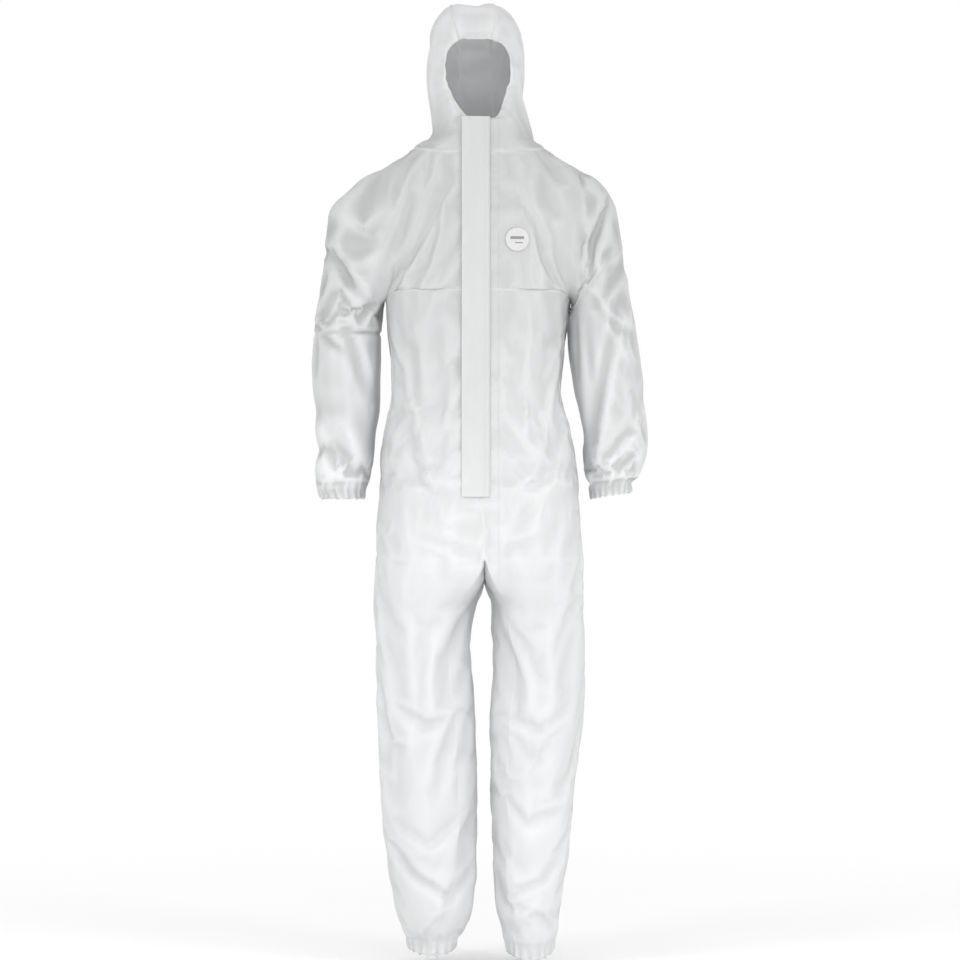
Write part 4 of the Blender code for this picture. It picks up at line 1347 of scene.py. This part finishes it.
def elastic_material():
    """Knitted white elastic: fine ribs running along the band."""
    m = Nodes("elastic")
    m.bump(m.wave(260.0, 0.6, "Z"), 0.0004, 0.7)
    m.bump(m.noise(1400, 2), 0.0002, 0.5)
    color = m.shades(m.noise(300), (0.70, 0.70, 0.69), (0.80, 0.80, 0.79))
    return m.surface(Base_Color=color, Roughness=0.85, Sheen_Weight=0.3)


def tape_material():
    """Woven polyester zip tape."""
    m = Nodes("zip_tape")
    m.bump(m.wave(420.0, 0.8), 0.0002, 0.6)
    m.bump(m.wave(420.0, 0.8, "Z"), 0.0002, 0.6)
    return m.surface(Base_Color=m.shades(m.noise(500), 0.72, 0.82), Roughness=0.8, Sheen_Weight=0.2)


def plastic_material(name, dark, light, roughness):
    """Moulded plastic with a faint flow pattern and small scuffs."""
    m = Nodes(name)
    m.bump(m.noise(700, 3), 0.00008, 0.4)
    scuffs = m.level(m.noise(300, 4), roughness, roughness + 0.15)
    return m.surface(Base_Color=m.shades(m.noise(120), dark, light), Roughness=scuffs)


def adhesive_material():
    """Clear tacky strip with small trapped bubbles."""
    m = Nodes("adhesive")
    m.bump(m.cells(900), 0.0001, 0.4)
    color = m.shades(m.noise(200), (0.72, 0.70, 0.62), (0.80, 0.79, 0.72))
    return m.surface(Base_Color=color, Roughness=m.level(m.noise(500), 0.15, 0.3), Coat_Weight=0.4)


def liner_material():
    """Waxed release paper."""
    m = Nodes("liner")
    m.bump(m.noise(30, 3, stretch=(1, 1, 0.3)), 0.0012, 0.5)
    m.bump(m.noise(1500, 3), 0.00005, 0.5)
    color = m.shades(m.noise(160, 4), (0.84, 0.85, 0.86), (0.90, 0.905, 0.91))
    return m.surface(Base_Color=color, Roughness=0.32, Coat_Weight=0.15)


def label_material(name, bars=()):
    """Smooth printed film; plain grey bars stand in for the printing."""
    m = Nodes(name)
    m.bump(m.noise(60, 3), 0.0002, 0.3)
    film = m.shades(m.noise(90, 3), 0.55, 0.59)
    for x, z, half_width, half_height in bars:
        film = m.blend(m.bar(LABEL_X + x, LABEL_Z + z, half_width, half_height), film, 0.22)
    return m.surface(Base_Color=film, Roughness=m.level(m.noise(220), 0.22, 0.34), Coat_Weight=0.2)


# Painted light and shade: the cloth's brightness at several heights, lighter low on the body and on the hood,
# darker over the chest and throat
SINGLE_LAYER_PAINTED_SHADE = ((0.72, 0.905), (1.10, 0.80), (1.32, 0.72), (1.53, 0.685), (1.61, 0.84))
DOUBLE_LAYER_PAINTED_SHADE = ((0.80, 0.86), (1.10, 0.82), (1.30, 0.79), (1.50, 0.77))
NONWOVEN = nonwoven_material("nonwoven", SINGLE_LAYER_PAINTED_SHADE)
FLAP_CLOTH = nonwoven_material("nonwoven_double", DOUBLE_LAYER_PAINTED_SHADE)
LABEL_BARS = ((0.0, 0.0030, 0.0125, 0.0026), (0.0035, -0.0062, 0.0070, 0.0010))
FINISHES = {
    "nonwoven": NONWOVEN,
    "elastic": elastic_material(),
    "zip_tape": tape_material(),
    "zip_coil": plastic_material("zip_coil", 0.76, 0.84, 0.35),
    "slider": plastic_material("slider", 0.80, 0.88, 0.28),
    "adhesive": adhesive_material(),
    "liner": liner_material(),
    "label": label_material("label"),
}


# The fabric pieces

for piece_name in pieces:
    shell(piece_name, NONWOVEN)


# Bands of elastic sewn inside the fabric


def grids_of(name):
    return pieces[name]["grids"]


def build_waist_elastic():
    """Inside the back, along the gathered line of the waist."""
    right = grids_of("lower_back_right")[0]["index"]
    left = grids_of("lower_back_left")[0]["index"]
    across = np.concatenate([right[:, ::-1], left[:, 1:]], axis=1)
    middle = across[:, across.shape[1] // 2]
    near = np.abs(points[middle, 2] - WAIST_Z) < WAIST_BAND / 2
    across = across[near][:, 4:-4]
    rows = points[across] - normals[across] * 0.0013
    band = sheet_of_rows("waist_elastic_band", rows, FINISHES["elastic"], BAND_THICKNESS)
    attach(band, "torso")
    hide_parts("waist_elastic")


def build_face_casing():
    """The turned-in edge of the face opening, with the elastic inside it."""
    right, left = (grids_of(f"hood_side_{name}")[0] for name, _ in SIDES)
    crown = grids_of("hood_center")[0]["index"]
    rows, shares = [], []
    for column, row, depth in ((0, 0, 0.0006), (1, 1, 0.0020), (2, 1, 0.0024), (3, 2, 0.0022)):
        ring = np.concatenate([
            right["index"][right["face_rows"], column],
            crown[row, 1:-1],
            left["index"][left["face_rows"], column][::-1],
        ])
        rows.append(points[ring] - normals[ring] * depth)
        shares.append(fold_weight(points[ring]))
    casing = sheet_of_rows("face_casing", rows, NONWOVEN, FABRIC)
    bend(casing)
    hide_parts("face_elastic")


build_waist_elastic()
build_face_casing()


# Closure: the flap over the zip, its adhesive and liner, the coils and the slider


def on_closure(x, out, z):
    """A point beside the zip: x across, out in front of the zip's middle, at height z on the centre line."""
    tilt = math.atan(FRONT_SLOPE)
    y = ZIP_Y + FRONT_SLOPE * (z - ZIP_LOW_Z) - out * math.cos(tilt)
    return np.array([x, y, z + out * math.sin(tilt)])


def build_flap():
    """A folded strip, sewn on at its left edge with two rows of stitches; the free edge is a soft fold."""
    across = [
        (0.0180, 0.0026), (0.0172, 0.0044), (0.0160, 0.0048), (0.0152, 0.0042), (0.0144, 0.0048),
        (0.0118, 0.0050), (0.0092, 0.0044), (0.0084, 0.0050), (0.0040, 0.0058), (-0.0040, 0.0064),
        (-0.0130, 0.0064), (-0.0220, 0.0061), (-0.0300, 0.0062), (-0.0334, 0.0060),
    ]
    rows = []
    for z in np.linspace(FLAP_LOW_Z + 0.001, FACE_LOW_Z + 0.0025, 150):
        ripple = 0.0007 * math.sin(z * 41) + 0.0004 * math.sin(z * 97 + 1) + 0.0006 * math.sin(z * 17 + 2)
        row = []
        for x, out in reversed(across):
            free = ease((0.004 - x) / 0.036)
            pucker = 0.00025 * math.sin(z * 900) * bump(x, 0.0122, 0.004)
            row.append(on_closure(x, out + ripple * free + pucker, z))
        rows.append(row)
    flap = sheet_of_rows("storm_flap_cloth", rows, FLAP_CLOTH, BAND_THICKNESS, to_front=True)
    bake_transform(flap)
    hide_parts("storm_flap")


COIL_PITCH = 0.0019
COIL_WIRE = 0.0009  # thickness of one loop, along the zip
# Outlines seen along the zip: x from the middle, then out; one loop, and the cord that holds the loops
COIL_LOOP = (
    (0.0004, -0.0007), (0.0004, 0.0007), (0.0016, 0.0010),
    (0.0030, 0.0008), (0.0030, -0.0008), (0.0016, -0.0010),
)
COIL_CORD = ((0.0018, -0.0004), (0.0029, -0.0004), (0.0029, 0.0004), (0.0018, 0.0004))


def add_prism(work, side, outline, low_z, high_z):
    rings = []
    for z in (low_z, high_z):
        rings.append([work.verts.new(on_closure(x * side, out, z)) for x, out in outline])
    work.faces.new(rings[0])
    work.faces.new(rings[1][::-1])
    for i in range(len(outline)):
        work.faces.new((rings[0][i], rings[0][i - 1], rings[1][i - 1], rings[1][i]))


def build_coils():
    """Each coil is a row of small interlocking loops; the two rows are set a part of a pitch apart."""
    for name, side in SIDES:
        low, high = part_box(f"zip_coil_{name}")
        work = bmesh.new()
        for k in range(int((high.z - low.z) / COIL_PITCH)):
            z = low.z + COIL_PITCH * (k + 0.35 + (0.3 if side > 0 else 0))
            add_prism(work, side, COIL_LOOP, z - COIL_WIRE / 2, z + COIL_WIRE / 2)
        add_prism(work, side, COIL_CORD, low.z, high.z)
        bmesh.ops.recalc_face_normals(work, faces=work.faces)
        mesh = bpy.data.meshes.new(f"coil_{name}")
        work.to_mesh(mesh)
        work.free()
        mesh.materials.append(FINISHES["zip_coil"])
        coil = place(f"coil_{name}", mesh)
        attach(coil, "torso")
        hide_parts(f"zip_coil_{name}")


build_flap()
build_coils()


def surface_terms(x, z):
    """The terms of a gently curved surface, y as a function of x and z."""
    return np.stack([np.ones(np.shape(x)), x, z, x**2, x * z, z**2], axis=-1)


def build_chest_label():
    """A round sticker that lies on the curve of the left chest."""
    near = np.hypot(points[:, 0] - LABEL_X, points[:, 2] - LABEL_Z) < LABEL_RADIUS + 0.012
    cloth = points[near & (points[:, 1] < 0)]
    terms = surface_terms(cloth[:, 0] - LABEL_X, cloth[:, 2] - LABEL_Z)
    fit = np.linalg.lstsq(terms, cloth[:, 1], rcond=None)[0]
    proud = (terms @ fit - cloth[:, 1]).max() + FABRIC / 2 + 0.0003

    rings = np.linspace(0, 1, 10)[:, None] * LABEL_RADIUS
    turns = 2 * math.pi * np.arange(64) / 64
    x, z = rings * np.cos(turns), rings * np.sin(turns)
    flat = stack(LABEL_X + x, surface_terms(x, z) @ fit - proud, LABEL_Z + z).reshape(-1, 3)
    index = np.arange(len(flat)).reshape(x.shape)
    index[0] = index[0, 0]
    quads = grid_quads(index, True)
    quads, out = facing_front(quads, vertex_normals(flat, quads))
    used, local = np.unique(quads, return_inverse=True)
    quads = local.reshape(quads.shape)
    film = label_material("label_printed", LABEL_BARS)
    label = thin_sheet("round_label", flat[used], quads, out[used], film, LABEL_THICKNESS)
    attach(label, "torso")
    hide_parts("chest_label")


build_chest_label()


# CAD nodes that stay: they only take a finish

for subpart in frame["record"]["subparts"]:
    obj = frame["nodes"][subpart["node"]]
    if not obj.hide_render:
        obj.data.materials.clear()
        obj.data.materials.append(FINISHES[subpart["material_slot"]])


# Floor, light and camera


def paper_material():
    """Matte white paper that fades to the backdrop's white away from the suit."""
    m = Nodes("paper")
    m.bump(m.noise(300, 3), 0.0002, 0.2)
    m.surface(Base_Color=m.shades(m.noise(2), 0.93, 0.95), Roughness=0.9)
    reach = m.add("ShaderNodeVectorMath", Vector=m.where)
    reach.operation = "LENGTH"
    away = m.add("ShaderNodeMapRange", Value=reach.outputs["Value"], From_Min=0.3, From_Max=2.6)
    away.interpolation_type = "SMOOTHSTEP"
    m.cover(away.outputs["Result"], m.add("ShaderNodeEmission", Color=(1, 1, 1, 1), Strength=1.0))
    return m.material


def build_stage():
    """A wide round floor; the white world behind it is the backdrop."""
    mesh = bpy.data.meshes.new("floor")
    turns = np.linspace(0, 2 * math.pi, 65)[:-1]
    ring = stack(FLOOR_RADIUS * np.cos(turns), FLOOR_RADIUS * np.sin(turns), cad_low.z - FLOOR_DROP)
    mesh.from_pydata(ring.tolist(), [], [list(range(len(ring)))])
    mesh.materials.append(paper_material())
    place("floor", mesh)


def add_light(name, where, target, size, watts):
    data = bpy.data.lights.new(name, "AREA")
    data.shape = "DISK"
    data.size = size
    data.energy = watts
    light = place(name, data)
    light.location = where
    light.rotation_euler = (Vector(target) - Vector(where)).to_track_quat("-Z", "Y").to_euler()


def build_world():
    """Soft even light; in the camera and in reflections the world is plain white."""
    world = bpy.data.worlds.new("studio")
    world.use_nodes = True
    tree = world.node_tree
    light = tree.nodes["Background"]
    white = tree.nodes.new("ShaderNodeBackground")
    for background, strength in ((light, WORLD_LIGHT), (white, 1.0)):
        background.inputs["Color"].default_value = (1, 1, 1, 1)
        background.inputs["Strength"].default_value = strength
    path = tree.nodes.new("ShaderNodeLightPath")
    choose = tree.nodes.new("ShaderNodeMixShader")
    seen = tree.nodes.new("ShaderNodeMath")
    seen.operation = "MAXIMUM"
    for source, target in (
        (path.outputs["Is Camera Ray"], seen.inputs[0]),
        (path.outputs["Is Glossy Ray"], seen.inputs[1]),
        (seen.outputs[0], choose.inputs[0]),
        (light.outputs[0], choose.inputs[1]),
        (white.outputs[0], choose.inputs[2]),
        (choose.outputs[0], tree.nodes["World Output"].inputs["Surface"]),
    ):
        tree.links.new(source, target)
    bpy.context.scene.world = world


def build_camera():
    """Straight in front of the suit, level, with a long lens."""
    data = bpy.data.cameras.new("camera")
    data.sensor_width = 36
    data.lens = data.sensor_width * CAMERA_DISTANCE / FRAME_WIDTH
    camera = place("camera", data)
    camera.location = (0, -CAMERA_DISTANCE, FRAME_MIDDLE_Z)
    camera.rotation_euler = (math.pi / 2, 0, 0)
    bpy.context.scene.camera = camera


build_stage()
build_world()
add_light("key", (-2.4, -2.2, 2.4), (0, 0, 1.0), 1.1, 23)
add_light("fill", (2.6, -2.4, 1.9), (0, 0, 1.1), 1.2, 28)
add_light("low", (0.3, -3.2, 0.5), (0, 0, 0.35), 1.2, 18)
build_camera()
bpy.context.scene.view_settings.view_transform = "Standard"
